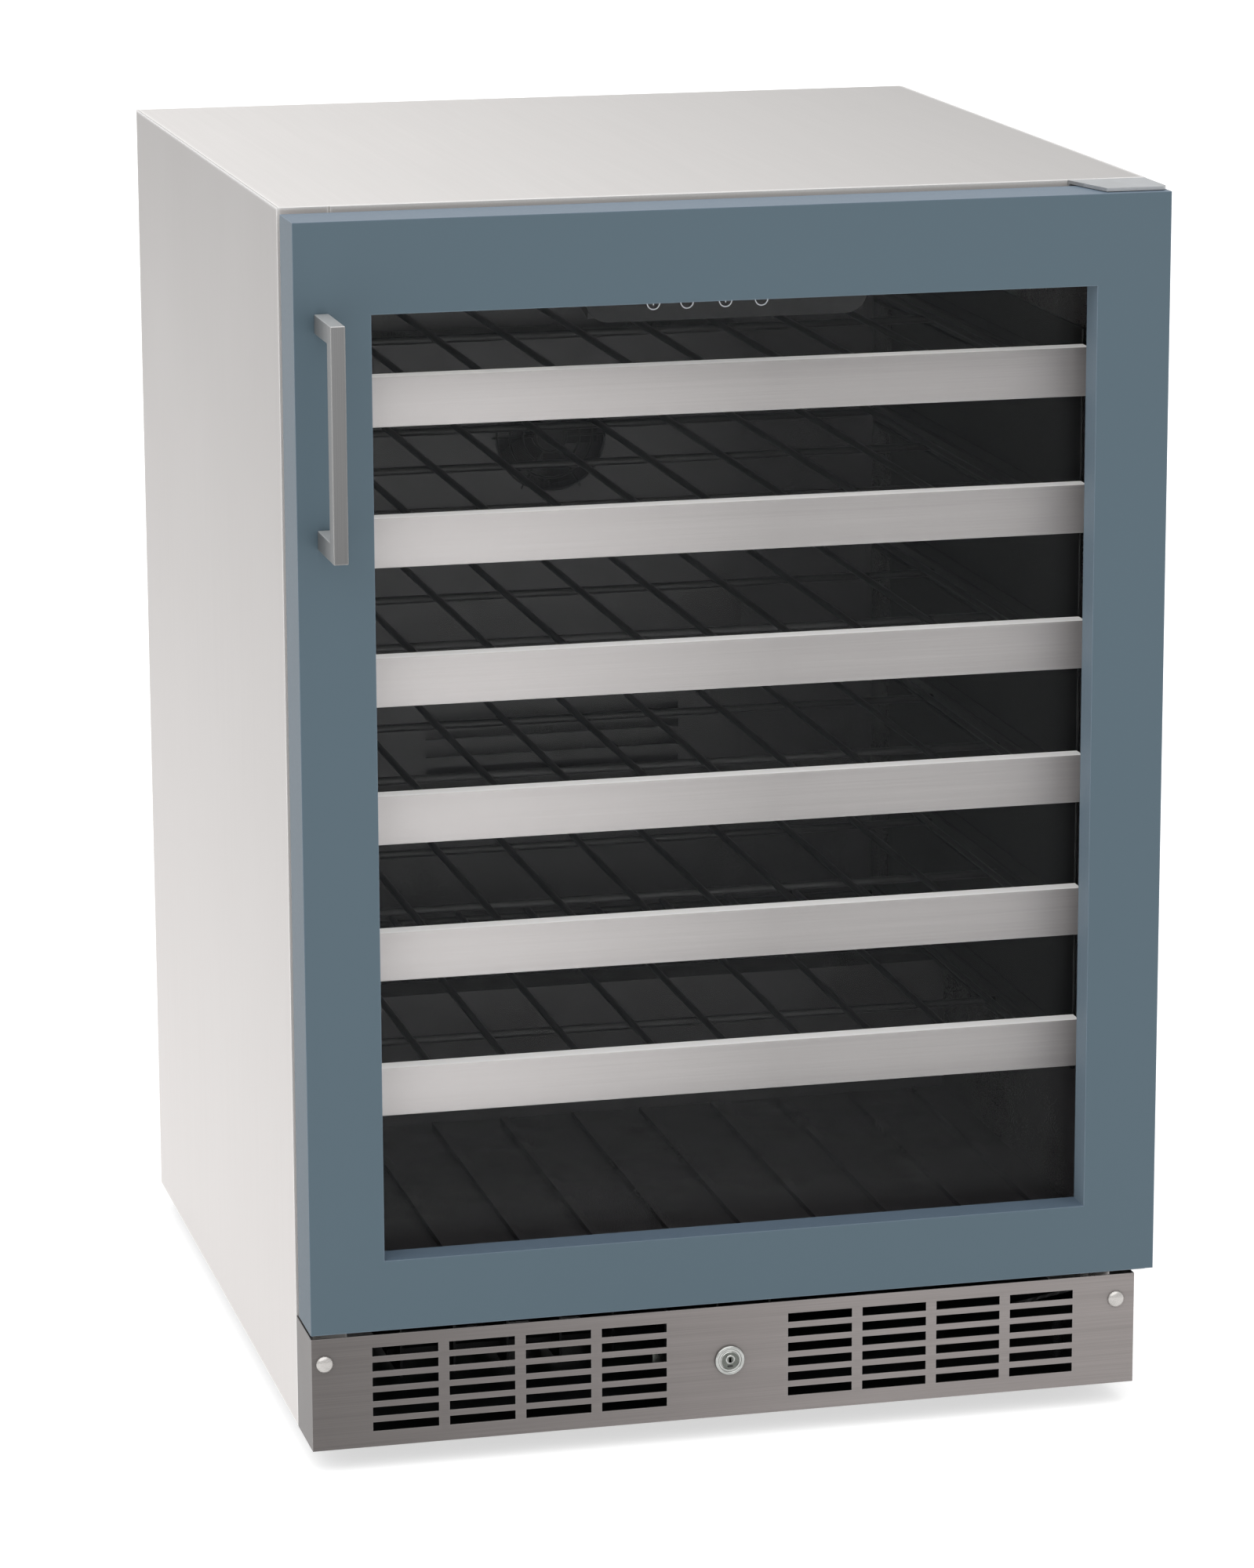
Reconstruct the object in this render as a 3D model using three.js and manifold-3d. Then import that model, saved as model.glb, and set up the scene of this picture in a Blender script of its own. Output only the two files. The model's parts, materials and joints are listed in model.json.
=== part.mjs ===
// Undercounter wine cooler: foamed steel cabinet, glazed door with a bar handle, six pull-out wire shelves,
// slotted kick plate with a cam lock, and the cooling parts. Millimetres, +Z up, front towards -Y.
import * as THREE from "three";
import { mergeVertices } from "three/addons/utils/BufferGeometryUtils.js";
import Module from "manifold-3d";

const wasm = await Module();
wasm.setup();

// ---- driving dimensions ----
const WIDTH = 600;
const HEIGHT = 859;
const CABINET_DEPTH = 584;
const DOOR_THICKNESS = 44;
const DOOR_GAP = 10; // between the door and the cabinet, filled by the gasket
const HANDLE_PROJECTION = 56;
const GLAND_PROJECTION = 6;
const FLOOR_GAP = 16; // from the floor to the cabinet's underside
const SHEET = 1; // steel sheet of the cabinet
const GAP = 0.3; // between pieces that touch

const DOOR_BOTTOM = 98.6;
const DOOR_TOP = 856;
const DOOR_SKIN = 1.5;
const WINDOW_HALF = 248.5;
const WINDOW_LOW = 148;
const WINDOW_HIGH = 794;
const REVEAL = 22; // how far the glass sits behind the door's face
const PANE = 4;
const PANE_MARGIN = 20; // how far the panes reach behind the frame
const SIGHT_MARGIN = 9; // how far what holds the panes stays back from the window's edge
const GLASS_LEDGE = 12;

const MOUTH_HALF = 265; // half the cavity's width
const FLOOR = 124;
const CEILING = 814;
const LINER = 2;
const BACK_WALL_DEPTH = 45;
const STEP_FRONT = 96; // the machine bay's step inside the cavity
const STEP_TOP = 224;
const BAY_FRONT = 133;
const BAY_CEILING = 192;
const FLOOR_FOAM_BOTTOM = 84;

const SHELF_COUNT = 6;
const TOP_SHELF = 744; // top edge of the highest shelf front
const SHELF_PITCH = 95.3;
const FASCIA_HEIGHT = 34.2;
const FASCIA_HALF = 261;
const FASCIA_DEPTH = 14;
const FASCIA_SHEET = 1.2;
const ROD = 5;
const ROD_TOP = -20; // below the shelf front's top edge
const RUNNER_BOTTOM = -34;
const RUNNER_HALF = 256;
const RUNNER_WIDTH = 6;
const BOTTLE_PITCH = 107;
const ROD_SPREAD = 26; // from a bottle's centre line to the rods that carry it
const BOTTLES_PER_SHELF = 5;

const KICK_LEFT = -300;
const KICK_RIGHT = 286.5;
const KICK_TOP = 95.9;
const KICK_SHEET = 1.2;
const SLOT_LENGTH = 46;
const SLOT_HEIGHT = 6.4;
const SLOT_PITCH_X = 53.5;
const SLOT_PITCH_Z = 10.7;
const SLOT_ROWS = 6;
const SLOTS_PER_GROUP = 4;
const SLOT_GROUP_STARTS = [-258, 35];
const TOP_SLOT_DROP = 12.1; // from the kick plate's top edge to the highest slot's middle

const LOCK_X = -7;
const LOCK_Z = 57;
const CAM_REACH = 50;
const CAM_HALF_WIDTH = 6;
const SCREW_Z = 78;
const SCREW_X = [-291, 273];

const HINGE_X = 288;
const HINGE_PIN_RADIUS = 4;
const HINGE_BORE_RADIUS = 4.1;
const ARM_THICKNESS = 2.5;

const BAR_WIDTH = 10; // the handle is bent from a flat bar
const BAR_DEPTH = 13;
const HANDLE_LEFT = -286.5;
const HANDLE_LOW = 640;
const HANDLE_HIGH = 796;

const FOOT_X = 251;
const FOOT_RADIUS = 13.5;
const FOOT_Y = [-232, 318];

const CONTROL_X = 6;
const CONTROL_HALF = 98;
const CONTROL_BOTTOM = 774;
const FAN_RADIUS = 39;
const FAN_HOLE_RADIUS = 42;

const BASE_SHEET = 1.5;
const SCREW_HOLE_RADIUS = 2.3;
const PLUG_RADIUS = 6;
const BARREL_RADIUS = 8;
const BEZEL_RADIUS = 10.7;
const CAM_THICKNESS = 3;
const STUD_RADIUS = 4;
const RAIL_PLATE = 2.5;
const LEDGE = 3;
const CROSS_BARS = [-80, 85];
const RACK_BACK = 250;
const BACK_SLOT_STARTS = [-200, -40, 120]; // air slots at the machine bay
const BACK_SLOT_LENGTH = 80;
const BACK_SLOT_HEIGHT = 6;
const BACK_SLOT_PITCH = 14;
const BACK_SLOT_LOW = 90;
const BACK_SLOT_ROWS = 6;
const GLAND_X = -240;
const GLAND_Z = 60;
const GLAND_NECK = 7;
const EVAPORATOR_FAN_Z = 610;
const COVER_SHEET = 2;
const COVER_EDGE = { half: 150, low: 330, high: 690 };
const COVER_SLOT = { half: 100, low: 350, height: 6, pitch: 14, rows: 6 };
const FAN_BLADES = 5;
const FAN_HUB_RADIUS = 13;
const COIL_FINS = 8;
const FIN_HALF = 0.8;
const COIL_TUBE_RADIUS = 3.5;
const COMPRESSOR_X = 150;
const COMPRESSOR_Y = 246;
const CONDENSER_FAN_X = -110;
const CONDENSER_FAN_Y = 168;
const CONDENSER_FAN_Z = 104;

// ---- planes worked out from them ----
const HALF = WIDTH / 2;
const OUTER_DEPTH = HANDLE_PROJECTION + DOOR_THICKNESS + DOOR_GAP + CABINET_DEPTH + GLAND_PROJECTION;
const HANDLE_FRONT = -OUTER_DEPTH / 2;
const DOOR_FRONT = HANDLE_FRONT + HANDLE_PROJECTION;
const DOOR_BACK = DOOR_FRONT + DOOR_THICKNESS;
const CABINET_FRONT = DOOR_BACK + DOOR_GAP;
const CABINET_BACK = CABINET_FRONT + CABINET_DEPTH;
const INSIDE_FRONT = CABINET_FRONT + SHEET + GAP;
const INSIDE_BACK = CABINET_BACK - SHEET - GAP;
const INSIDE_HALF = HALF - SHEET - GAP;
const BACK_WALL = CABINET_BACK - BACK_WALL_DEPTH;
const HINGE_Y = DOOR_BACK - DOOR_THICKNESS / 2;
const SHELF_FRONT = CABINET_FRONT + 1;
const LINER_HALF = MOUTH_HALF - GAP;
const RUNNER_FRONT = SHELF_FRONT + FASCIA_DEPTH + 1;
const CAM_FRONT = DOOR_FRONT + 18.5;
const CONTROL_BACK = SHELF_FRONT + 89;
const COVER_FRONT = BACK_WALL - 33;

// ---- geometry helpers ----
function box(x0, x1, y0, y1, z0, z1) {
  const shape = new THREE.BoxGeometry(x1 - x0, y1 - y0, z1 - z0);
  return shape.translate((x0 + x1) / 2, (y0 + y1) / 2, (z0 + z1) / 2);
}

function outline(points) {
  return new THREE.Shape(points.map(([a, b]) => new THREE.Vector2(a, b)));
}

function rectangle(low, high) {
  return [[low[0], low[1]], [high[0], low[1]], [high[0], high[1]], [low[0], high[1]]];
}

function circle(x, y, radius, sides) {
  const points = [];
  for (let i = 0; i < sides; i++) {
    const turn = (2 * Math.PI * i) / sides;
    points.push([x + radius * Math.cos(turn), y + radius * Math.sin(turn)]);
  }
  return points;
}

// A flat outline in (x, y), raised from z0 to z1.
function raise(points, z0, z1, holes = []) {
  const shape = outline(points);
  shape.holes = holes.map(outline);
  const solid = new THREE.ExtrudeGeometry(shape, { depth: z1 - z0, bevelEnabled: false });
  return solid.translate(0, 0, z0);
}

// A flat outline in (x, z), given its thickness from y0 to y1.
function upright(points, y0, y1, holes = []) {
  return raise(points, -y1, -y0, holes).rotateX(Math.PI / 2);
}

// A flat outline in (y, z), run from x0 to x1.
function crosswise(points, x0, x1) {
  const solid = raise(points, x0, x1);
  const turn = new THREE.Matrix4().set(0, 0, 1, 0, 1, 0, 0, 0, 0, 1, 0, 0, 0, 0, 0, 1);
  return solid.applyMatrix4(turn);
}

// A window-shaped ring: half widths and heights of its outer and inner edges, from y0 to y1.
function ring(outer, inner, y0, y1) {
  const edge = rectangle([-outer.half, outer.low], [outer.half, outer.high]);
  const hole = rectangle([-inner.half, inner.low], [inner.half, inner.high]);
  return upright(edge, y0, y1, [hole]);
}

function grown(frame, by) {
  return { half: frame.half + by, low: frame.low - by, high: frame.high + by };
}

function cylinder(radius, from, to, sides = 16) {
  const start = new THREE.Vector3(...from);
  const end = new THREE.Vector3(...to);
  const solid = new THREE.CylinderGeometry(radius, radius, start.distanceTo(end), sides);
  const direction = end.clone().sub(start).normalize();
  const turn = new THREE.Quaternion().setFromUnitVectors(new THREE.Vector3(0, 1, 0), direction);
  solid.applyQuaternion(turn);
  const middle = start.add(end).multiplyScalar(0.5);
  return solid.translate(middle.x, middle.y, middle.z);
}

// A turned piece about an axis along Z; the profile is a list of [radius, height] from the bottom up.
function turned(profile, sides = 24) {
  const points = profile.map(([r, h]) => new THREE.Vector2(r, h));
  return new THREE.LatheGeometry(points, sides).rotateX(Math.PI / 2);
}

// The same piece with its axis along Y, heights running from back to front.
function turnedFront(profile, sides = 24) {
  return turned(profile, sides).rotateX(Math.PI / 2);
}

function toSolid(geometry) {
  const bare = geometry.clone();
  bare.deleteAttribute("normal");
  bare.deleteAttribute("uv");
  const merged = mergeVertices(bare, 1e-4);
  return new wasm.Manifold(new wasm.Mesh({
    numProp: 3,
    vertProperties: new Float32Array(merged.attributes.position.array),
    triVerts: new Uint32Array(merged.index.array),
  }));
}

function toGeometry(solid) {
  const mesh = solid.getMesh();
  const geometry = new THREE.BufferGeometry();
  geometry.setAttribute("position", new THREE.BufferAttribute(mesh.vertProperties, 3));
  geometry.setIndex(new THREE.BufferAttribute(mesh.triVerts, 1));
  const flat = geometry.toNonIndexed();
  flat.computeVertexNormals();
  return flat;
}

function join(...pieces) {
  return toGeometry(pieces.map(toSolid).reduce((whole, piece) => whole.add(piece)));
}

function cut(piece, ...tools) {
  return toGeometry(tools.map(toSolid).reduce((whole, tool) => whole.subtract(tool), toSolid(piece)));
}

// ---- materials ----
const finishes = {
  cabinetSteel: { color: 0xc6c2be, roughness: 0.4, metalness: 0.7 },
  doorPaint: { color: 0x60707a, roughness: 0.45, metalness: 0.1 },
  brushedSteel: { color: 0x9b9692, roughness: 0.35, metalness: 0.9 },
  shelfSteel: { color: 0xb9b5b2, roughness: 0.3, metalness: 0.9 },
  aluminium: { color: 0x8b8c8d, roughness: 0.35, metalness: 0.9 },
  chrome: { color: 0xd8d8d8, roughness: 0.1, metalness: 1 },
  zincSteel: { color: 0xa9abad, roughness: 0.5, metalness: 0.8 },
  blackPlastic: { color: 0x141415, roughness: 0.5, metalness: 0 },
  glossBlack: { color: 0x08090a, roughness: 0.12, metalness: 0 },
  blackWire: { color: 0x111112, roughness: 0.4, metalness: 0.3 },
  blackPaint: { color: 0x1a1a1b, roughness: 0.5, metalness: 0.4 },
  rubber: { color: 0x1c1d1f, roughness: 0.8, metalness: 0 },
  glass: { color: 0x9fb0b0, roughness: 0.03, metalness: 0, transparent: true, opacity: 0.25 },
  foam: { color: 0xe0cf9a, roughness: 0.9, metalness: 0 },
  fins: { color: 0xb5b8ba, roughness: 0.5, metalness: 0.8 },
  copper: { color: 0xb06a43, roughness: 0.35, metalness: 1 },
  lamp: { color: 0xf4f1e8, roughness: 0.4, metalness: 0 },
};

function piece(name, geometry, finish) {
  const mesh = new THREE.Mesh(geometry, new THREE.MeshStandardMaterial(finishes[finish]));
  mesh.name = name;
  return mesh;
}

// ---- cabinet shell ----
// An outer side wall folded in at the front to make half of the mouth's frame.
function sidePanel(side) {
  const folded = [
    [side * MOUTH_HALF, CABINET_FRONT],
    [side * HALF, CABINET_FRONT],
    [side * HALF, CABINET_BACK],
    [side * (HALF - SHEET), CABINET_BACK],
    [side * (HALF - SHEET), CABINET_FRONT + SHEET],
    [side * MOUTH_HALF, CABINET_FRONT + SHEET],
  ];
  const screwX = SCREW_X[side < 0 ? 0 : 1];
  const holeFront = [screwX, CABINET_FRONT - 1, SCREW_Z];
  const holeBack = [screwX, CABINET_FRONT + 3, SCREW_Z];
  return cut(raise(folded, FLOOR_GAP, HEIGHT), cylinder(SCREW_HOLE_RADIUS, holeFront, holeBack, 12));
}

function topPanel() {
  const sheet = box(-INSIDE_HALF, INSIDE_HALF, INSIDE_FRONT, CABINET_BACK, HEIGHT - SHEET, HEIGHT);
  const lipTop = HEIGHT - 0.2;
  const apron = crosswise([
    [CABINET_FRONT, CEILING],
    [CABINET_FRONT + SHEET, CEILING],
    [CABINET_FRONT + SHEET, lipTop - SHEET],
    [CABINET_FRONT + 3 * SHEET, lipTop - SHEET],
    [CABINET_FRONT + 3 * SHEET, lipTop],
    [CABINET_FRONT, lipTop],
  ], -LINER_HALF, LINER_HALF);
  return join(sheet, apron);
}

function frontRail() {
  return box(-LINER_HALF, LINER_HALF, CABINET_FRONT, CABINET_FRONT + SHEET, FLOOR_FOAM_BOTTOM, FLOOR);
}

function backPanel() {
  const low = FLOOR_GAP + BASE_SHEET + GAP;
  const back = CABINET_BACK;
  const sheet = box(-INSIDE_HALF, INSIDE_HALF, back - SHEET, back, low, HEIGHT - SHEET - GAP);
  const openings = [cylinder(GLAND_NECK + GAP, [GLAND_X, back - 5, GLAND_Z], [GLAND_X, back + 5, GLAND_Z])];
  for (const left of BACK_SLOT_STARTS) {
    for (let row = 0; row < BACK_SLOT_ROWS; row++) {
      const z = BACK_SLOT_LOW + BACK_SLOT_PITCH * row;
      openings.push(box(left, left + BACK_SLOT_LENGTH, back - 5, back + 5, z, z + BACK_SLOT_HEIGHT));
    }
  }
  return cut(sheet, ...openings);
}

function basePan() {
  const pan = box(-INSIDE_HALF, INSIDE_HALF, INSIDE_FRONT, INSIDE_BACK, FLOOR_GAP, FLOOR_GAP + BASE_SHEET);
  const holes = footPlaces().map(([x, y]) => cylinder(STUD_RADIUS + 0.5, [x, y, 0], [x, y, 30], 16));
  return cut(pan, ...holes);
}

// The side view of everything inside the liner, with the step over the machine bay.
function cavityOutline(margin) {
  const front = INSIDE_FRONT;
  const low = FLOOR - LINER - margin;
  const step = STEP_TOP - LINER - margin;
  return [
    [front, low],
    [STEP_FRONT + LINER + margin, low],
    [STEP_FRONT + LINER + margin, step],
    [BACK_WALL + LINER + margin, step],
    [BACK_WALL + LINER + margin, CEILING + LINER + margin],
    [front, CEILING + LINER + margin],
  ];
}

function insulation() {
  const block = crosswise([
    [INSIDE_FRONT, FLOOR_FOAM_BOTTOM],
    [BAY_FRONT, FLOOR_FOAM_BOTTOM],
    [BAY_FRONT, BAY_CEILING],
    [INSIDE_BACK, BAY_CEILING],
    [INSIDE_BACK, HEIGHT - SHEET - GAP],
    [INSIDE_FRONT, HEIGHT - SHEET - GAP],
  ], -INSIDE_HALF, INSIDE_HALF);
  const hollow = MOUTH_HALF + LINER + GAP;
  const cavity = cavityOutline(GAP).map(([y, z]) => [y === INSIDE_FRONT ? y - 5 : y, z]);
  return cut(block, crosswise(cavity, -hollow, hollow));
}

// One folded sheet under the floor foam, up the bay's front wall and over the bay.
function machineBayCover() {
  const under = FLOOR_FOAM_BOTTOM - GAP;
  const wall = BAY_FRONT + GAP;
  const over = BAY_CEILING - GAP;
  return crosswise([
    [INSIDE_FRONT, under - SHEET],
    [wall + SHEET, under - SHEET],
    [wall + SHEET, over - SHEET],
    [INSIDE_BACK, over - SHEET],
    [INSIDE_BACK, over],
    [wall, over],
    [wall, under],
    [INSIDE_FRONT, under],
  ], -INSIDE_HALF, INSIDE_HALF);
}

// ---- liner ----
function linerSide(side) {
  const near = side * MOUTH_HALF;
  const far = side * (MOUTH_HALF + LINER);
  return crosswise(cavityOutline(0), Math.min(near, far), Math.max(near, far));
}

function linerTop() {
  return box(-LINER_HALF, LINER_HALF, INSIDE_FRONT, BACK_WALL + LINER, CEILING, CEILING + LINER);
}

function linerBack() {
  return box(-LINER_HALF, LINER_HALF, BACK_WALL, BACK_WALL + LINER, STEP_TOP - LINER, CEILING - GAP);
}

// The floor panel, with low moulded ribs that keep the lowest bottles apart.
function linerFloor() {
  const back = STEP_FRONT - GAP;
  const ribs = rodPlaces().map((x) => box(x - 3, x + 3, INSIDE_FRONT + 20, back - 10, FLOOR - 1, FLOOR + 4));
  return join(box(-LINER_HALF, LINER_HALF, INSIDE_FRONT, back, FLOOR - LINER, FLOOR), ...ribs);
}

function linerStep() {
  const back = BACK_WALL - GAP;
  return crosswise([
    [STEP_FRONT, FLOOR - LINER],
    [STEP_FRONT + LINER, FLOOR - LINER],
    [STEP_FRONT + LINER, STEP_TOP - LINER],
    [back, STEP_TOP - LINER],
    [back, STEP_TOP],
    [STEP_FRONT, STEP_TOP],
  ], -LINER_HALF, LINER_HALF);
}

// ---- shelves and the rails that carry them ----
function shelfTop(index) {
  return TOP_SHELF - SHELF_PITCH * index;
}

function rodPlaces() {
  const places = [];
  for (let bottle = 0; bottle < BOTTLES_PER_SHELF; bottle++) {
    const middle = BOTTLE_PITCH * (bottle - (BOTTLES_PER_SHELF - 1) / 2);
    places.push(middle - ROD_SPREAD, middle + ROD_SPREAD);
  }
  return places;
}

// A comb of channels: each pair of ledges holds one shelf's runner from below and above.
function shelfRail(side) {
  const wall = LINER_HALF;
  const face = wall - RAIL_PLATE;
  const tip = RUNNER_HALF - RUNNER_WIDTH - 2;
  const low = STEP_TOP + 1.5;
  const points = [[wall, low], [face, low]];
  for (let index = SHELF_COUNT - 1; index >= 0; index--) {
    const runner = [shelfTop(index) + RUNNER_BOTTOM - GAP, shelfTop(index) + ROD_TOP + GAP];
    points.push([face, runner[0] - LEDGE], [tip, runner[0] - LEDGE], [tip, runner[0]], [face, runner[0]]);
    points.push([face, runner[1]], [tip, runner[1]], [tip, runner[1] + LEDGE], [face, runner[1] + LEDGE]);
  }
  points.push([face, shelfTop(0) + 10], [wall, shelfTop(0) + 10]);
  return upright(points.map(([x, z]) => [side * x, z]), SHELF_FRONT + FASCIA_DEPTH + 4, 240);
}

// The shelf's steel front: a shallow channel that is open to the back. Its top edge is at z = 0.
function shelfFascia() {
  const front = SHELF_FRONT;
  const back = SHELF_FRONT + FASCIA_DEPTH;
  return crosswise([
    [front, -FASCIA_HEIGHT],
    [back, -FASCIA_HEIGHT],
    [back, -FASCIA_HEIGHT + FASCIA_SHEET],
    [front + FASCIA_SHEET, -FASCIA_HEIGHT + FASCIA_SHEET],
    [front + FASCIA_SHEET, -FASCIA_SHEET],
    [back, -FASCIA_SHEET],
    [back, 0],
    [front, 0],
  ], -FASCIA_HALF, FASCIA_HALF);
}

// Side runners, front and back bars, cross bars, and two long rods under each bottle.
function shelfRack() {
  const front = SHELF_FRONT + 3;
  const inner = RUNNER_HALF - RUNNER_WIDTH;
  const barHalf = RUNNER_HALF - RUNNER_WIDTH / 2;
  const rodBottom = ROD_TOP - ROD;
  const bars = [
    box(-RUNNER_HALF, -inner, RUNNER_FRONT, RACK_BACK, RUNNER_BOTTOM, ROD_TOP - 0.6),
    box(inner, RUNNER_HALF, RUNNER_FRONT, RACK_BACK, RUNNER_BOTTOM, ROD_TOP - 0.6),
    box(-RUNNER_HALF + 0.5, -inner - 0.5, front, RUNNER_FRONT + 2, ROD_TOP - 9.5, ROD_TOP - 1),
    box(inner + 0.5, RUNNER_HALF - 0.5, front, RUNNER_FRONT + 2, ROD_TOP - 9.5, ROD_TOP - 1),
    box(-barHalf, barHalf, front + 1, front + 7, ROD_TOP - 9, ROD_TOP - 1.5),
    box(-barHalf, barHalf, RACK_BACK - 8, RACK_BACK - 1, ROD_TOP - 9, ROD_TOP - 1.5),
  ];
  for (const y of CROSS_BARS) {
    bars.push(box(-barHalf, barHalf, y - 3, y + 3, rodBottom - 5, rodBottom + 1));
  }
  for (const x of rodPlaces()) {
    bars.push(box(x - ROD / 2, x + ROD / 2, front + 3, RACK_BACK - 3, rodBottom, ROD_TOP));
  }
  return join(...bars);
}

function shelf(index) {
  const group = new THREE.Group();
  group.position.z = shelfTop(index);
  group.add(piece(`shelf_${index + 1}_front`, shelfFascia(), "shelfSteel"));
  group.add(piece(`shelf_${index + 1}_rack`, shelfRack(), "blackWire"));
  return group;
}

// ---- door ----
const windowEdge = { half: WINDOW_HALF, low: WINDOW_LOW, high: WINDOW_HIGH };
const doorEdge = { half: HALF, low: DOOR_BOTTOM, high: DOOR_TOP };

// A pressed steel frame: front face, outer returns, window reveal and a ledge for the glass,
// with two welded blocks that take the hinge pins and a slot for the lock's cam.
function doorFrame() {
  const seat = DOOR_FRONT + REVEAL;
  const past = DOOR_BACK + 1;
  const pocket = ring(grown(doorEdge, -DOOR_SKIN), grown(windowEdge, DOOR_SKIN), DOOR_FRONT + DOOR_SKIN, past);
  const trim = ring(grown(windowEdge, DOOR_SKIN + 0.5), grown(windowEdge, -1), seat, past);
  const pressed = cut(ring(doorEdge, windowEdge, DOOR_FRONT, DOOR_BACK), pocket, trim);
  const ledge = ring(
    grown(windowEdge, GLASS_LEDGE), grown(windowEdge, DOOR_SKIN / 2), seat - DOOR_SKIN - 0.2, seat - 0.2);
  const embed = DOOR_SKIN / 2;
  const heights = [[DOOR_BOTTOM + embed, DOOR_BOTTOM + 20], [DOOR_TOP - 20, DOOR_TOP - embed]];
  const blocks = heights.map(
    ([low, high]) => box(HINGE_X - 12, HALF - embed, HINGE_Y - 12, HINGE_Y + 12, low, high));
  const bores = heights.map(
    ([low, high]) => cylinder(HINGE_BORE_RADIUS, [HINGE_X, HINGE_Y, low - 5], [HINGE_X, HINGE_Y, high + 5], 24));
  const camSlot = box(
    LOCK_X - 38, LOCK_X + 11, CAM_FRONT - 4, CAM_FRONT + CAM_THICKNESS + 4, DOOR_BOTTOM - 2, DOOR_BOTTOM + 2);
  return cut(join(pressed, ledge, ...blocks), ...bores, camSlot);
}

function glassPane(front) {
  const edge = grown(windowEdge, PANE_MARGIN);
  return upright(rectangle([-edge.half, edge.low], [edge.half, edge.high]), front, front + PANE);
}

const OUTER_PANE = DOOR_FRONT + REVEAL + GAP;
const SPACER_FRONT = OUTER_PANE + PANE + GAP;
const SPACER_BACK = SPACER_FRONT + 9.7;
const INNER_PANE = SPACER_BACK + GAP;
const RETAINER_FRONT = INNER_PANE + PANE + GAP;

function glassSpacer() {
  return ring(grown(windowEdge, PANE_MARGIN - 1), grown(windowEdge, SIGHT_MARGIN), SPACER_FRONT, SPACER_BACK);
}

function glassRetainer() {
  const outer = grown(doorEdge, -DOOR_SKIN - GAP);
  return ring(outer, grown(windowEdge, SIGHT_MARGIN), RETAINER_FRONT, DOOR_BACK - GAP);
}

function doorGasket() {
  const outer = { half: MOUTH_HALF + 22, low: FLOOR - 20, high: CEILING + 22 };
  return ring(outer, grown(outer, -18), DOOR_BACK, CABINET_FRONT - GAP);
}

// A flat bar bent into a sharp-cornered U, standing off the door's face.
function handle() {
  const foot = DOOR_FRONT - GAP;
  return crosswise([
    [HANDLE_FRONT, HANDLE_LOW],
    [foot, HANDLE_LOW],
    [foot, HANDLE_LOW + BAR_DEPTH],
    [HANDLE_FRONT + BAR_DEPTH, HANDLE_LOW + BAR_DEPTH],
    [HANDLE_FRONT + BAR_DEPTH, HANDLE_HIGH - BAR_DEPTH],
    [foot, HANDLE_HIGH - BAR_DEPTH],
    [foot, HANDLE_HIGH],
    [HANDLE_FRONT, HANDLE_HIGH],
  ], HANDLE_LEFT, HANDLE_LEFT + BAR_WIDTH);
}

// ---- hinge brackets: an angle on the cabinet's front with an arm and a pin ----
function hingeBracket(armLow, armHigh, flangeLow, flangeHigh, pinFrom, pinTo) {
  const back = CABINET_FRONT - GAP;
  const arm = raise([
    [244, back],
    [256, HINGE_Y - 16],
    [296, HINGE_Y - 16],
    [299, HINGE_Y - 12],
    [299, back],
  ], armLow, armHigh);
  const flange = box(244, 299, back - ARM_THICKNESS, back, flangeLow, flangeHigh);
  const pin = cylinder(HINGE_PIN_RADIUS, [HINGE_X, HINGE_Y, pinFrom], [HINGE_X, HINGE_Y, pinTo], 24);
  return join(arm, flange, pin);
}

function topHinge() {
  const low = DOOR_TOP + 0.4;
  return hingeBracket(low, low + ARM_THICKNESS, low - 18, low + 1, low - 14, low + 1);
}

function bottomHinge() {
  const high = DOOR_BOTTOM - 0.4;
  return hingeBracket(high - 2, high, high - 14, high - 1, high - 1, high + 15);
}

// ---- kick plate and lock ----
function kickPlate() {
  const front = DOOR_FRONT;
  const openings = [cylinder(BARREL_RADIUS + GAP, [LOCK_X, front - 5, LOCK_Z], [LOCK_X, front + 5, LOCK_Z], 20)];
  for (const x of SCREW_X) {
    openings.push(cylinder(SCREW_HOLE_RADIUS, [x, front - 5, SCREW_Z], [x, front + 5, SCREW_Z], 12));
  }
  for (const start of SLOT_GROUP_STARTS) {
    for (let column = 0; column < SLOTS_PER_GROUP; column++) {
      for (let row = 0; row < SLOT_ROWS; row++) {
        const x = start + SLOT_PITCH_X * column;
        const z = KICK_TOP - TOP_SLOT_DROP - SLOT_PITCH_Z * row - SLOT_HEIGHT / 2;
        openings.push(box(x, x + SLOT_LENGTH, front - 5, front + 5, z, z + SLOT_HEIGHT));
      }
    }
  }
  const rightEnd = CABINET_FRONT - GAP - ARM_THICKNESS - GAP; // clear of the lower hinge's flange
  const folded = [
    [KICK_LEFT, front],
    [KICK_RIGHT, front],
    [KICK_RIGHT, rightEnd],
    [KICK_RIGHT - KICK_SHEET, rightEnd],
    [KICK_RIGHT - KICK_SHEET, front + KICK_SHEET],
    [KICK_LEFT + KICK_SHEET, front + KICK_SHEET],
    [KICK_LEFT + KICK_SHEET, CABINET_FRONT - GAP],
    [KICK_LEFT, CABINET_FRONT - GAP],
  ];
  const overlap = KICK_SHEET / 2;
  const sill = box(
    KICK_LEFT + overlap, KICK_RIGHT - overlap, front + overlap, rightEnd, FLOOR_GAP, FLOOR_GAP + KICK_SHEET);
  return cut(join(raise(folded, FLOOR_GAP, KICK_TOP), sill), ...openings);
}

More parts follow.
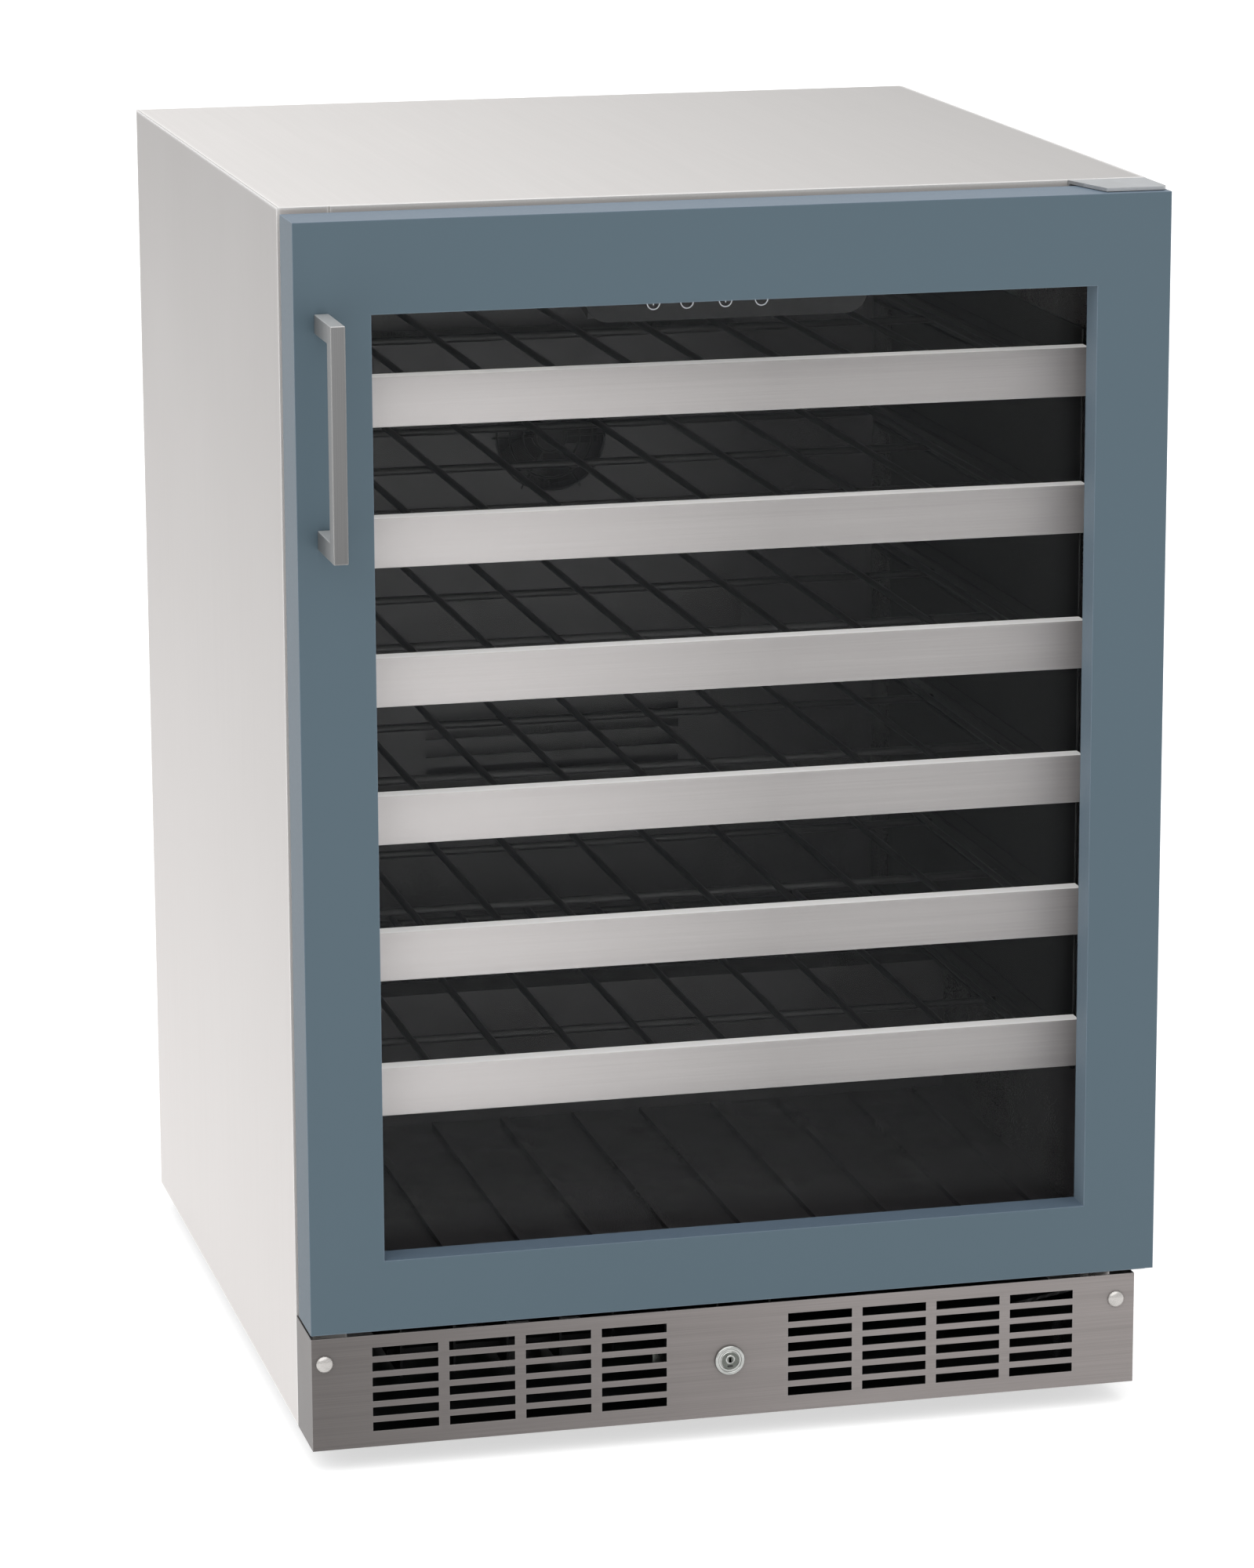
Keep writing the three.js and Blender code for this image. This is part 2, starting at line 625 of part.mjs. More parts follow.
// A dome-headed screw whose shank crosses from the kick plate to the cabinet's side flange.
function kickScrew(x) {
  const head = DOOR_FRONT - GAP;
  const profile = [[0, 0], [2, 0], [2, 59], [5.5, 59], [5.2, 60.4], [3.8, 61.6], [0, 62]];
  return turnedFront(profile, 16).translate(x, head + 59, SCREW_Z);
}

// The lock's fixed barrel: a bezel on the kick plate and a sleeve through it.
function lockBarrel() {
  const bore = PLUG_RADIUS + 0.1;
  const profile = [
    [bore, 0], [BARREL_RADIUS, 0], [BARREL_RADIUS, 18], [BEZEL_RADIUS, 18], [BEZEL_RADIUS, 19.6],
    [BEZEL_RADIUS - 1, 20.6], [bore, 20.6], [bore, 0],
  ];
  return turnedFront(profile, 24).translate(LOCK_X, DOOR_FRONT - GAP + 18, LOCK_Z);
}

// The turning plug with its cam, which points to the left when unlocked and up when locked.
function lockPlug() {
  const face = DOOR_FRONT - 2.4;
  const back = CAM_FRONT + CAM_THICKNESS;
  const plug = cylinder(PLUG_RADIUS, [LOCK_X, face, LOCK_Z], [LOCK_X, back, LOCK_Z], 24);
  const cam = box(
    LOCK_X - CAM_REACH, LOCK_X + CAM_HALF_WIDTH + 2,
    CAM_FRONT, back, LOCK_Z - CAM_HALF_WIDTH, LOCK_Z + CAM_HALF_WIDTH);
  const keyway = box(LOCK_X - 0.9, LOCK_X + 0.9, face - 1, face + 5, LOCK_Z - 2.5, LOCK_Z + 2.5);
  return cut(join(plug, cam), keyway);
}

// ---- feet ----
function footPlaces() {
  return FOOT_Y.flatMap((y) => [[-FOOT_X, y], [FOOT_X, y]]);
}

function foot(x, y) {
  const profile = [
    [0, 0], [FOOT_RADIUS - 1, 0], [FOOT_RADIUS, 1.5], [FOOT_RADIUS, 8], [FOOT_RADIUS - 2, 10],
    [7, 10], [7, 15.5], [STUD_RADIUS, 15.5], [STUD_RADIUS, 48], [0, 48],
  ];
  return turned(profile, 16).translate(x, y, 0);
}

// ---- controls and light ----
function controlHousing() {
  const front = SHELF_FRONT + 3.3;
  const top = CEILING - GAP;
  return crosswise([
    [front, CONTROL_BOTTOM + 2],
    [CONTROL_BACK, CONTROL_BOTTOM + 22],
    [CONTROL_BACK, top],
    [front, top],
  ], CONTROL_X - CONTROL_HALF + 2, CONTROL_X + CONTROL_HALF - 2);
}

function controlFace() {
  const radius = 16;
  const left = CONTROL_X - CONTROL_HALF;
  const right = CONTROL_X + CONTROL_HALF;
  const top = CEILING - GAP;
  const points = [[right, top], [left, top]];
  for (let i = 0; i <= 6; i++) {
    const turn = Math.PI + (Math.PI / 2) * (i / 6);
    points.push([left + radius * (1 + Math.cos(turn)), CONTROL_BOTTOM + radius * (1 + Math.sin(turn))]);
  }
  for (let i = 0; i <= 6; i++) {
    const turn = 1.5 * Math.PI + (Math.PI / 2) * (i / 6);
    points.push([right - radius * (1 - Math.cos(turn)), CONTROL_BOTTOM + radius * (1 + Math.sin(turn))]);
  }
  return upright(points, SHELF_FRONT, SHELF_FRONT + 3);
}

function lightStrip() {
  return box(-220, 220, CONTROL_BACK + 4, CONTROL_BACK + 18, CEILING - 7, CEILING - GAP);
}

// ---- cooling: air side ----
// A fan wheel on an axis along Y, with pitched blades around a hub.
function fanWheel(x, y, z) {
  const root = FAN_HUB_RADIUS - 3;
  const length = FAN_RADIUS - root;
  const pitch = 0.45;
  const blades = [];
  for (let i = 0; i < FAN_BLADES; i++) {
    const blade = new THREE.BoxGeometry(length, 1.6, 20);
    blade.translate(root + length / 2, 0, 0);
    blade.rotateX(pitch);
    blade.rotateY((2 * Math.PI * i) / FAN_BLADES);
    blades.push(blade.translate(x, y, z));
  }
  return join(cylinder(FAN_HUB_RADIUS, [x, y - 6, z], [x, y + 6, z], 20), ...blades);
}

// A tray over the coil, with the fan's opening, air slots and the bridge that holds the fan's motor.
function evaporatorCover() {
  const front = COVER_FRONT;
  const back = BACK_WALL - GAP;
  const edge = COVER_EDGE;
  const bridge = edge.half - COVER_SHEET / 2 - 0.1;
  const holes = [circle(0, EVAPORATOR_FAN_Z, FAN_HOLE_RADIUS, 32)];
  for (let row = 0; row < COVER_SLOT.rows; row++) {
    const low = COVER_SLOT.low + COVER_SLOT.pitch * row;
    holes.push(rectangle([-COVER_SLOT.half, low], [COVER_SLOT.half, low + COVER_SLOT.height]));
  }
  const corners = rectangle([-edge.half, edge.low], [edge.half, edge.high]);
  return join(
    upright(corners, front, front + COVER_SHEET, holes),
    ring(grown(edge, -0.2), grown(edge, -COVER_SHEET), front + 1, back),
    box(-bridge, bridge, back - 6, back - 1, EVAPORATOR_FAN_Z - 4, EVAPORATOR_FAN_Z + 4),
    cylinder(FAN_HUB_RADIUS + 1, [0, back - 9, EVAPORATOR_FAN_Z], [0, back - 1, EVAPORATOR_FAN_Z], 20),
  );
}

// A block of thin fins on straight tubes: fins stand across x, tubes run along x.
function finnedBlock(x, y, z, tubePlaces) {
  const margin = 6; // bare tube past the last fin
  const pitch = (x[1] - x[0] - 2 * margin) / (COIL_FINS - 1);
  const parts = [];
  for (let i = 0; i < COIL_FINS; i++) {
    const middle = x[0] + margin + pitch * i;
    parts.push(box(middle - FIN_HALF, middle + FIN_HALF, y[0], y[1], z[0], z[1]));
  }
  for (const [tubeY, tubeZ] of tubePlaces) {
    parts.push(cylinder(COIL_TUBE_RADIUS, [x[0], tubeY, tubeZ], [x[1], tubeY, tubeZ], 6));
  }
  return join(...parts);
}

function evaporatorCoil() {
  const y = [COVER_FRONT + 6, BACK_WALL - 5];
  const middle = (y[0] + y[1]) / 2;
  return finnedBlock([-130, 130], y, [450, 540], [[middle, 475], [middle, 515]]);
}

// ---- cooling: machine bay ----
function condenserCoil() {
  const tubes = [[-150, 34], [-150, 62], [-100, 34], [-100, 62]];
  return finnedBlock([-220, 60], [-175, -75], [22, 74], tubes);
}

function compressor() {
  const low = FLOOR_GAP + BASE_SHEET + GAP;
  const shell = turned([
    [0, low + 6], [52, low + 6], [66, low + 14], [72, low + 30], [72, low + 92],
    [66, low + 116], [48, low + 134], [24, low + 143], [0, low + 145],
  ], 24);
  const plate = box(-85, 85, -45, 45, low + 5, low + 9);
  const mounts = [[-74, -34], [74, -34], [-74, 34], [74, 34]].map(
    ([x, y]) => cylinder(9, [x, y, low], [x, y, low + 6], 12));
  const relay = box(-22, 22, -88, -60, low + 40, low + 84);
  return join(shell, plate, relay, ...mounts).translate(COMPRESSOR_X, COMPRESSOR_Y, 0);
}

function condenserFanMotor() {
  const low = FLOOR_GAP + BASE_SHEET + GAP;
  const y = CONDENSER_FAN_Y + 8;
  return join(
    cylinder(17, [CONDENSER_FAN_X, y, CONDENSER_FAN_Z], [CONDENSER_FAN_X, y + 30, CONDENSER_FAN_Z], 20),
    box(CONDENSER_FAN_X - 14, CONDENSER_FAN_X + 14, y + 20, y + 24, low, CONDENSER_FAN_Z),
    box(CONDENSER_FAN_X - 25, CONDENSER_FAN_X + 25, y + 5, y + 39, low, low + 2),
  );
}

// The tray that catches defrost water beside the fan, open at the top.
function drainPan() {
  const low = FLOOR_GAP + BASE_SHEET + GAP;
  const outer = box(-235, -145, 225, 325, low, low + 30);
  return cut(outer, box(-233, -147, 227, 323, low + 2, low + 35));
}

// The copper pipe from the compressor's shell to the condenser, run low under the floor foam.
function refrigerantPipe() {
  const route = [[92, 196, 70], [84, 182, 66], [92, 110, 56], [84, 0, 52], [80, -80, 60], [64, -100, 62]];
  const curve = new THREE.CatmullRomCurve3(route.map((point) => new THREE.Vector3(...point)));
  return new THREE.ExtrudeGeometry(outline(circle(0, 0, 3, 8)), { steps: 20, extrudePath: curve });
}

// The cable's way out through the back panel: a flanged sleeve, open right through.
function cordGland() {
  const bore = 4.5;
  const profile = [
    [bore, -8], [12, -8], [12, -SHEET - GAP], [GLAND_NECK, -SHEET - GAP], [GLAND_NECK, GAP],
    [11, GAP], [8, GLAND_PROJECTION], [bore, GLAND_PROJECTION], [bore, -8],
  ];
  return turned(profile, 16).rotateX(-Math.PI / 2).translate(GLAND_X, CABINET_BACK, GLAND_Z);
}

// ---- assembly ----
function cabinetGroup() {
  const group = new THREE.Group();
  group.add(piece("side_panel_left", sidePanel(-1), "cabinetSteel"));
  group.add(piece("side_panel_right", sidePanel(1), "cabinetSteel"));
  group.add(piece("top_panel", topPanel(), "cabinetSteel"));
  group.add(piece("front_rail", frontRail(), "cabinetSteel"));
  group.add(piece("back_panel", backPanel(), "zincSteel"));
  group.add(piece("base_pan", basePan(), "zincSteel"));
  group.add(piece("insulation_foam", insulation(), "foam"));
  group.add(piece("machine_bay_cover", machineBayCover(), "zincSteel"));
  group.add(piece("liner_left", linerSide(-1), "blackPlastic"));
  group.add(piece("liner_right", linerSide(1), "blackPlastic"));
  group.add(piece("liner_top", linerTop(), "blackPlastic"));
  group.add(piece("liner_back", linerBack(), "blackPlastic"));
  group.add(piece("liner_floor", linerFloor(), "blackPlastic"));
  group.add(piece("liner_step", linerStep(), "blackPlastic"));
  group.add(piece("shelf_rail_left", shelfRail(-1), "blackPlastic"));
  group.add(piece("shelf_rail_right", shelfRail(1), "blackPlastic"));
  group.add(piece("hinge_bracket_top", topHinge(), "zincSteel"));
  group.add(piece("hinge_bracket_bottom", bottomHinge(), "zincSteel"));
  group.add(piece("kick_plate", kickPlate(), "brushedSteel"));
  group.add(piece("kick_screw_left", kickScrew(SCREW_X[0]), "brushedSteel"));
  group.add(piece("kick_screw_right", kickScrew(SCREW_X[1]), "brushedSteel"));
  group.add(piece("lock_barrel", lockBarrel(), "chrome"));
  group.add(piece("lock_plug", lockPlug(), "chrome"));
  group.add(piece("control_housing", controlHousing(), "blackPlastic"));
  group.add(piece("control_face", controlFace(), "glossBlack"));
  group.add(piece("light_strip", lightStrip(), "lamp"));
  return group;
}

function coolingGroup() {
  const group = new THREE.Group();
  group.add(piece("evaporator_cover", evaporatorCover(), "blackPlastic"));
  group.add(piece("evaporator_coil", evaporatorCoil(), "fins"));
  group.add(piece("evaporator_fan", fanWheel(0, COVER_FRONT + 11, EVAPORATOR_FAN_Z), "blackPlastic"));
  group.add(piece("compressor", compressor(), "blackPaint"));
  group.add(piece("refrigerant_pipe", refrigerantPipe(), "copper"));
  group.add(piece("condenser_coil", condenserCoil(), "fins"));
  group.add(piece("condenser_fan_motor", condenserFanMotor(), "zincSteel"));
  group.add(piece("condenser_fan", fanWheel(CONDENSER_FAN_X, CONDENSER_FAN_Y, CONDENSER_FAN_Z), "blackPlastic"));
  group.add(piece("drain_pan", drainPan(), "blackPlastic"));
  group.add(piece("cord_gland", cordGland(), "blackPlastic"));
  return group;
}

function doorGroup() {
  const group = new THREE.Group();
  group.add(piece("door_frame", doorFrame(), "doorPaint"));
  group.add(piece("glass_outer", glassPane(OUTER_PANE), "glass"));
  group.add(piece("glass_spacer", glassSpacer(), "blackPaint"));
  group.add(piece("glass_inner", glassPane(INNER_PANE), "glass"));
  group.add(piece("glass_retainer", glassRetainer(), "blackPlastic"));
  group.add(piece("door_gasket", doorGasket(), "rubber"));
  group.add(piece("handle", handle(), "aluminium"));
  return group;
}

function feetGroup() {
  const group = new THREE.Group();
  const names = ["foot_front_left", "foot_front_right", "foot_rear_left", "foot_rear_right"];
  footPlaces().forEach(([x, y], i) => group.add(piece(names[i], foot(x, y), "blackPlastic")));
  return group;
}

const cooler = new THREE.Group();
cooler.add(cabinetGroup(), coolingGroup(), doorGroup(), feetGroup());
for (let index = 0; index < SHELF_COUNT; index++) {
  cooler.add(shelf(index));
}

export default cooler;
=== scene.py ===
import json
import math

import bmesh
import bpy
from mathutils import Matrix, Vector


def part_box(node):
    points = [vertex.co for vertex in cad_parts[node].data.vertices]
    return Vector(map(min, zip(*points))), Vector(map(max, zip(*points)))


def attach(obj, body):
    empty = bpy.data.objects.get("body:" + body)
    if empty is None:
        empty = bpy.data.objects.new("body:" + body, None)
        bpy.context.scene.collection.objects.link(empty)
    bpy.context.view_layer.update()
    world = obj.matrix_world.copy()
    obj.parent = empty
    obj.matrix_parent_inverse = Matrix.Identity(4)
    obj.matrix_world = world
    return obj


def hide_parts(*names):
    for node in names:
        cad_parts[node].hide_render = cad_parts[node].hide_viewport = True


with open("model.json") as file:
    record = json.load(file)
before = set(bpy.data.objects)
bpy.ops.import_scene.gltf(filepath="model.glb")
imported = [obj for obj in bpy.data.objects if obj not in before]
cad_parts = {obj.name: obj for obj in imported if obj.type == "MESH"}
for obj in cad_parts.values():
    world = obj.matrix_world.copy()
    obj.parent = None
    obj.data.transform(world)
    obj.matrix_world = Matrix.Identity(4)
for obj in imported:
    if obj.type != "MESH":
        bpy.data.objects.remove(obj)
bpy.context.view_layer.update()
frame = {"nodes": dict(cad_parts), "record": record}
mm = 0.001

# where the camera stands in metres, and how far it is turned in degrees
camera = {"stands": (-0.9677, -3.9286, 1.3513), "right": 13.752, "down": 13.255, "roll": 0.226,
          "lens": 131.45, "film": 36}


def setCamera():
    lens = bpy.data.cameras.new("view")
    lens.lens = camera["lens"]
    lens.sensor_width = camera["film"]
    eye = bpy.data.objects.new("view", lens)
    bpy.context.scene.collection.objects.link(eye)
    turn = Matrix.Rotation(math.radians(-camera["right"]), 4, "Z")
    tip = Matrix.Rotation(math.radians(90 - camera["down"]), 4, "X")
    roll = Matrix.Rotation(math.radians(-camera["roll"]), 4, "Z")
    eye.matrix_world = Matrix.Translation(camera["stands"]) @ turn @ tip @ roll
    bpy.context.scene.camera = eye


setCamera()
print("camera set")


class Wire:  # an output socket that can be used in sums
    def __init__(self, finish, socket):
        self.finish = finish
        self.socket = socket

    def sum(self, operation, left, right):
        return self.finish.node("ShaderNodeMath", {"operation": operation}, {0: left, 1: right})["Value"]

    def __add__(self, other):
        return self.sum("ADD", self, other)

    def __radd__(self, other):
        return self.sum("ADD", other, self)

    def __sub__(self, other):
        return self.sum("SUBTRACT", self, other)

    def __rsub__(self, other):
        return self.sum("SUBTRACT", other, self)

    def __mul__(self, other):
        return self.sum("MULTIPLY", self, other)

    def __rmul__(self, other):
        return self.sum("MULTIPLY", other, self)

    def __pow__(self, other):
        return self.sum("POWER", self, other)

    def __rpow__(self, other):
        return self.sum("POWER", other, self)


# masks fade between two cosines, of a face's angle to an axis and of an edge's angle to the face beside it
facingFade = {"none": 0.4, "full": 0.8}
rimFade = {"none": 0.97, "full": 0.80, "samples": 4}


class Finish:  # one material, mixed from nodes
    def __init__(self, name):
        self.material = bpy.data.materials.new(name)
        self.material.use_nodes = True
        self.tree = self.material.node_tree
        self.tree.nodes.clear()
        self.place = self.node("ShaderNodeTexCoord", {}, {})["Object"]  # metres from the object's origin

    def node(self, kind, settings, inputs):
        made = self.tree.nodes.new(kind)
        for key, value in settings.items():
            if key == "stops":
                self.setStops(made.color_ramp.elements, value)
            else:
                setattr(made, key, value)
        for key, value in inputs.items():
            socket = made.inputs[key] if isinstance(key, int) else self.find(made.inputs, key)
            if isinstance(value, Wire):
                self.tree.links.new(value.socket, socket)
            else:
                socket.default_value = value
        return {socket.identifier: Wire(self, socket) for socket in made.outputs}

    def setStops(self, elements, stops):
        while len(elements) < len(stops):
            elements.new(1.0)
        for element, (position, shade) in zip(elements, stops):
            element.position = position
            element.color = (shade, shade, shade, 1)

    def find(self, sockets, key):
        return next(socket for socket in sockets if key in (socket.identifier, socket.name))

    def noise(self, stretch, detail=2.0, start=(0, 0, 0)):  # stretch is in waves per metre
        placed = {"Vector": self.place, "Scale": stretch, "Location": start}
        spot = self.node("ShaderNodeMapping", {}, placed)["Vector"]
        return self.node("ShaderNodeTexNoise", {}, {"Vector": spot, "Scale": 1.0, "Detail": detail})["Fac"]

    def cells(self, scale):
        return self.node("ShaderNodeTexVoronoi", {}, {"Vector": self.place, "Scale": scale})

    def ramp(self, value, *stops):
        return self.node("ShaderNodeValToRGB", {"stops": stops}, {"Fac": value})["Color"]

    def axis(self, letter, vector):  # one of a vector's three numbers
        return self.node("ShaderNodeSeparateXYZ", {}, {"Vector": vector})[letter]

    def along(self, letter, low, high):  # 0 at low and 1 at high, in metres
        ends = {"Value": self.axis(letter, self.place), "From Min": low, "From Max": high}
        return self.node("ShaderNodeMapRange", {}, ends)["Result"]

    def blend(self, kind, share, colourA, colourB):
        inputs = {"Factor_Float": share, "A_Color": colourA, "B_Color": colourB}
        return self.node("ShaderNodeMix", {"data_type": "RGBA", "blend_type": kind}, inputs)["Result_Color"]

    def between(self, mask, colourA, colourB):
        return self.blend("MIX", mask, colourA, colourB)

    def facing(self, letter, way=1.0):  # 1 on faces that look along an axis, or against it
        normal = self.node("ShaderNodeTexCoord", {}, {})["Normal"]
        return self.ramp(self.axis(letter, normal) * way, (facingFade["none"], 0), (facingFade["full"], 1))

    def rims(self, radius):  # 1 on the edges of a piece and 0 on its flats
        rounded = self.node("ShaderNodeBevel", {"samples": rimFade["samples"]}, {"Radius": radius})["Normal"]
        flat = self.node("ShaderNodeNewGeometry", {}, {})["True Normal"]
        pair = {0: rounded, 1: flat}
        same = self.node("ShaderNodeVectorMath", {"operation": "DOT_PRODUCT"}, pair)["Value"]
        return self.ramp(same, (rimFade["full"], 1), (rimFade["none"], 0))

    def bump(self, height, depth, strength):
        relief = {"Height": height, "Distance": depth, "Strength": strength}
        return self.node("ShaderNodeBump", {}, relief)["Normal"]

    def done(self, **sockets):
        named = {key.replace("_", " "): value for key, value in sockets.items()}
        shader = self.node("ShaderNodeBsdfPrincipled", {}, named)
        self.node("ShaderNodeOutputMaterial", {}, {"Surface": shader["BSDF"]})
        return self.material


def hue(red, green, blue):  # a colour as a screen shows it, 0 to 255
    parts = [value / 255 for value in (red, green, blue)]
    light = [part / 12.92 if part <= 0.04045 else ((part + 0.055) / 1.055) ** 2.4 for part in parts]
    return (*light, 1.0)


def shaded(colour, share):  # darker below a share of 1, lighter above it
    return (*(part * share for part in colour[:3]), 1.0)


black = hue(0, 0, 0)
white = hue(255, 255, 255)


# sheet steel, brushed along one axis; its colour carries painted light and shade that drift from one end to
# the other, standing in for a satin face's reflection of the room, and its edges carry a painted highlight
# over a rim in millimetres
steels = {
    "cabinet": {"colour": hue(184, 180, 178), "metal": 0.25, "rough": 0.48, "grain": 0.09, "along": "Z",
                "drift": ("Z", 0.85, 0.0), "paintedLightShares": (0.62, 1.22), "rim": 3.4, "shine": 0.8,
                "front": hue(184, 180, 178)},
    "top": {"colour": hue(184, 181, 179), "metal": 0.25, "rough": 0.48, "grain": 0.09, "along": "Y",
            "drift": ("X", -0.3, 0.3), "paintedLightShares": (1.20, 0.76), "rim": 3.4, "shine": 0.8,
            "front": hue(184, 181, 179)},
    "shelf": {"colour": hue(190, 186, 185), "metal": 0.15, "rough": 0.40, "grain": 0.12, "along": "X",
              "drift": ("X", -0.26, 0.04), "paintedLightShares": (1.66, 0.92), "rim": 2.0, "shine": 0.7,
              "topHighlight": hue(248, 247, 246), "topHighlightShare": 1.0, "topGlowLight": 0.35},
    "kick": {"colour": hue(138, 132, 130), "metal": 0.40, "rough": 0.40, "grain": 0.18, "along": "X",
             "drift": ("X", -0.29, 0.1), "paintedLightShares": (0.42, 0.88), "rim": 0.6, "shine": 0.25,
             "back": hue(12, 12, 12)},
    "handle": {"colour": hue(116, 116, 116), "metal": 0.40, "rough": 0.34, "grain": 0.18, "along": "Z",
               "drift": ("Z", 0.64, 0.80), "paintedLightShares": (0.74, 0.90), "rim": 1.2, "shine": 0.55,
               "topHighlight": hue(235, 235, 234), "topHighlightShare": 0.5},
    "screw": {"colour": hue(176, 173, 170), "metal": 0.85, "rough": 0.26, "grain": 0.24, "along": "Y",
              "drift": ("Z", 0.05, 0.07), "paintedLightShares": (0.9, 1.1), "rim": 0.2, "shine": 0.2},
}
# the grain's waves per metre, with near white colours for the painted highlight on rims and the painted glow
# on top faces
brushing = {"long": 9, "fine": 1500, "cloud": 5, "rimHighlight": hue(250, 249, 248), "glow": hue(250, 249, 247)}
# the kick plate's back is painted near black as painted shade, which starts and is full this far in from its
# front and its ends, in millimetres
backShadeInset = {"front": (0.6, 1.0), "left": (0.4, 0.7), "right": (0.3, 0.6)}


def behindPlate(finish):
    low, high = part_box("kick_plate")
    front = [low.y + depth * mm for depth in backShadeInset["front"]]
    left = [low.x + depth * mm for depth in backShadeInset["left"]]
    right = [high.x - depth * mm for depth in backShadeInset["right"]]
    return finish.along("Y", *front) * finish.along("X", *left) * finish.along("X", *right)


def foldTones(finish, recipe, brushed):  # fronts in the plain steel colour without the painted drift, a painted highlight on the upper folds, and painted shade on the kick plate's back
    if "front" in recipe:
        brushed = finish.between(finish.facing("Y", -1.0), brushed, recipe["front"])
    # faces that look up are lightened toward near white: a painted highlight
    if "topHighlight" in recipe:
        brushed = finish.between(finish.facing("Z") * recipe["topHighlightShare"], brushed, recipe["topHighlight"])
    # the inner side of the kick plate turns near black: painted shade
    if "back" in recipe:
        brushed = finish.between(behindPlate(finish), brushed, recipe["back"])
    return brushed


# faces that look up glow near white though they are no lamp: painted light
def topGlowLight(finish, recipe):
    if "topGlowLight" not in recipe:
        return {}
    colour = finish.between(finish.facing("Z"), black, brushing["glow"])
    return {"Emission_Color": colour, "Emission_Strength": recipe["topGlowLight"]}


def steel(name):
    recipe = steels[name]
    finish = Finish(name + "_steel")
    long, fine = brushing["long"], brushing["fine"]
    grain = finish.noise([long if letter == recipe["along"] else fine for letter in "XYZ"], 3.0)
    coarse = finish.noise([long / 3 if letter == recipe["along"] else fine / 6 for letter in "XYZ"], 2.0)
    cloud = finish.noise([brushing["cloud"]] * 3, 3.0, (3, 1, 2))
    streak = grain * 0.65 + coarse * 0.35
    tone = finish.ramp(streak * 0.85 + cloud * 0.15, (0.32, 0), (0.68, 1))
    # lit and shaded copies of the steel, blended along an axis: painted light and shade
    base = finish.between(
        finish.along(*recipe["drift"]), *[shaded(recipe["colour"], share) for share in recipe["paintedLightShares"]])
    brushed = finish.blend("SOFT_LIGHT", recipe["grain"], base, finish.between(tone, black, white))
    # edges lightened toward near white: a painted highlight
    rimHighlight = finish.rims(recipe["rim"] * mm) * recipe["shine"]
    return finish.done(
        Base_Color=finish.between(rimHighlight, foldTones(finish, recipe, brushed), brushing["rimHighlight"]),
        Metallic=recipe["metal"],
        Roughness=recipe["rough"] + (streak - 0.5) * 0.14 + (cloud - 0.5) * 0.12,
        Normal=finish.bump(streak, 0.06 * mm, 0.35),
        **topGlowLight(finish, recipe))


# the door's paint, with painted light and shade on its faces: the left side darker, the right reveal and the
# top lighter and bluer, the edges a painted highlight; the left side and the right reveal both look left
doorTones = {"front": hue(74, 91, 101), "left": hue(64, 81, 93), "reveal": hue(112, 128, 140),
             "top": hue(92, 108, 123), "edge": hue(134, 146, 162), "rim": 1.1, "middle": 10}


def doorPaint():
    finish = Finish("door_paint")
    cloud = finish.noise((4, 4, 4), 3.0)
    peel = finish.noise((420, 420, 420), 2.0)
    speck = finish.noise((1800, 1800, 1800), 1.0)
    base, middle = doorTones["front"], doorTones["middle"] * mm
    coat = finish.between(cloud * 0.7 + speck * 0.3, shaded(base, 0.975), shaded(base, 1.025))
    # painted shade on the outer left side and painted light on the right reveal
    sides = finish.between(finish.along("X", -middle, middle), doorTones["left"], doorTones["reveal"])
    coat = finish.between(finish.facing("X", -1.0), coat, sides)
    # faces that look up get a lighter, bluer copy of the paint: painted light
    coat = finish.between(finish.facing("Z"), coat, doorTones["top"])
    return finish.done(
        # edges lightened: a painted highlight
        Base_Color=finish.between(finish.rims(doorTones["rim"] * mm) * 0.5, coat, doorTones["edge"]),
        Roughness=0.46 + (cloud - 0.5) * 0.06 + (peel - 0.5) * 0.06,
        Specular_IOR_Level=0.3,
        Normal=finish.bump(peel * 0.8 + speck * 0.2, 0.08 * mm, 0.25))


def chrome(name, low, high, rough):
    finish = Finish(name)
    haze = finish.noise((300, 300, 300), 2.0)
    return finish.done(
        Base_Color=finish.between(haze, low, high),
        Metallic=1.0,
        Roughness=rough + haze * 0.10,
        Normal=finish.bump(haze, 0.03 * mm, 0.2))


def plastic(name, colour, rough, texture, depth):  # moulded plastic with a spark-eroded texture
    finish = Finish(name)
    pits = finish.noise((texture, texture, texture), 2.0)
    cloud = finish.noise((7, 7, 7), 3.0)
    return finish.done(
        Base_Color=finish.between(cloud * 0.6 + pits * 0.4, shaded(colour, 0.8), shaded(colour, 1.25)),
        Roughness=rough + (pits - 0.5) * 0.12 + (cloud - 0.5) * 0.14,
        Normal=finish.bump(pits, depth * mm, 0.4))


def glossPanel():  # the touch panel, with a faint haze of finger marks
    finish = Finish("gloss_black")
    marks = finish.ramp(finish.noise((38, 38, 55), 4.0), (0.52, 0), (0.72, 1))
    return finish.done(
        Base_Color=finish.between(marks, hue(7, 7, 8), hue(16, 16, 18)),
        Roughness=0.14 + marks * 0.16,
        Specular_IOR_Level=0.25,
        Normal=finish.bump(finish.noise((900, 900, 900), 1.0), 0.01 * mm, 0.2))


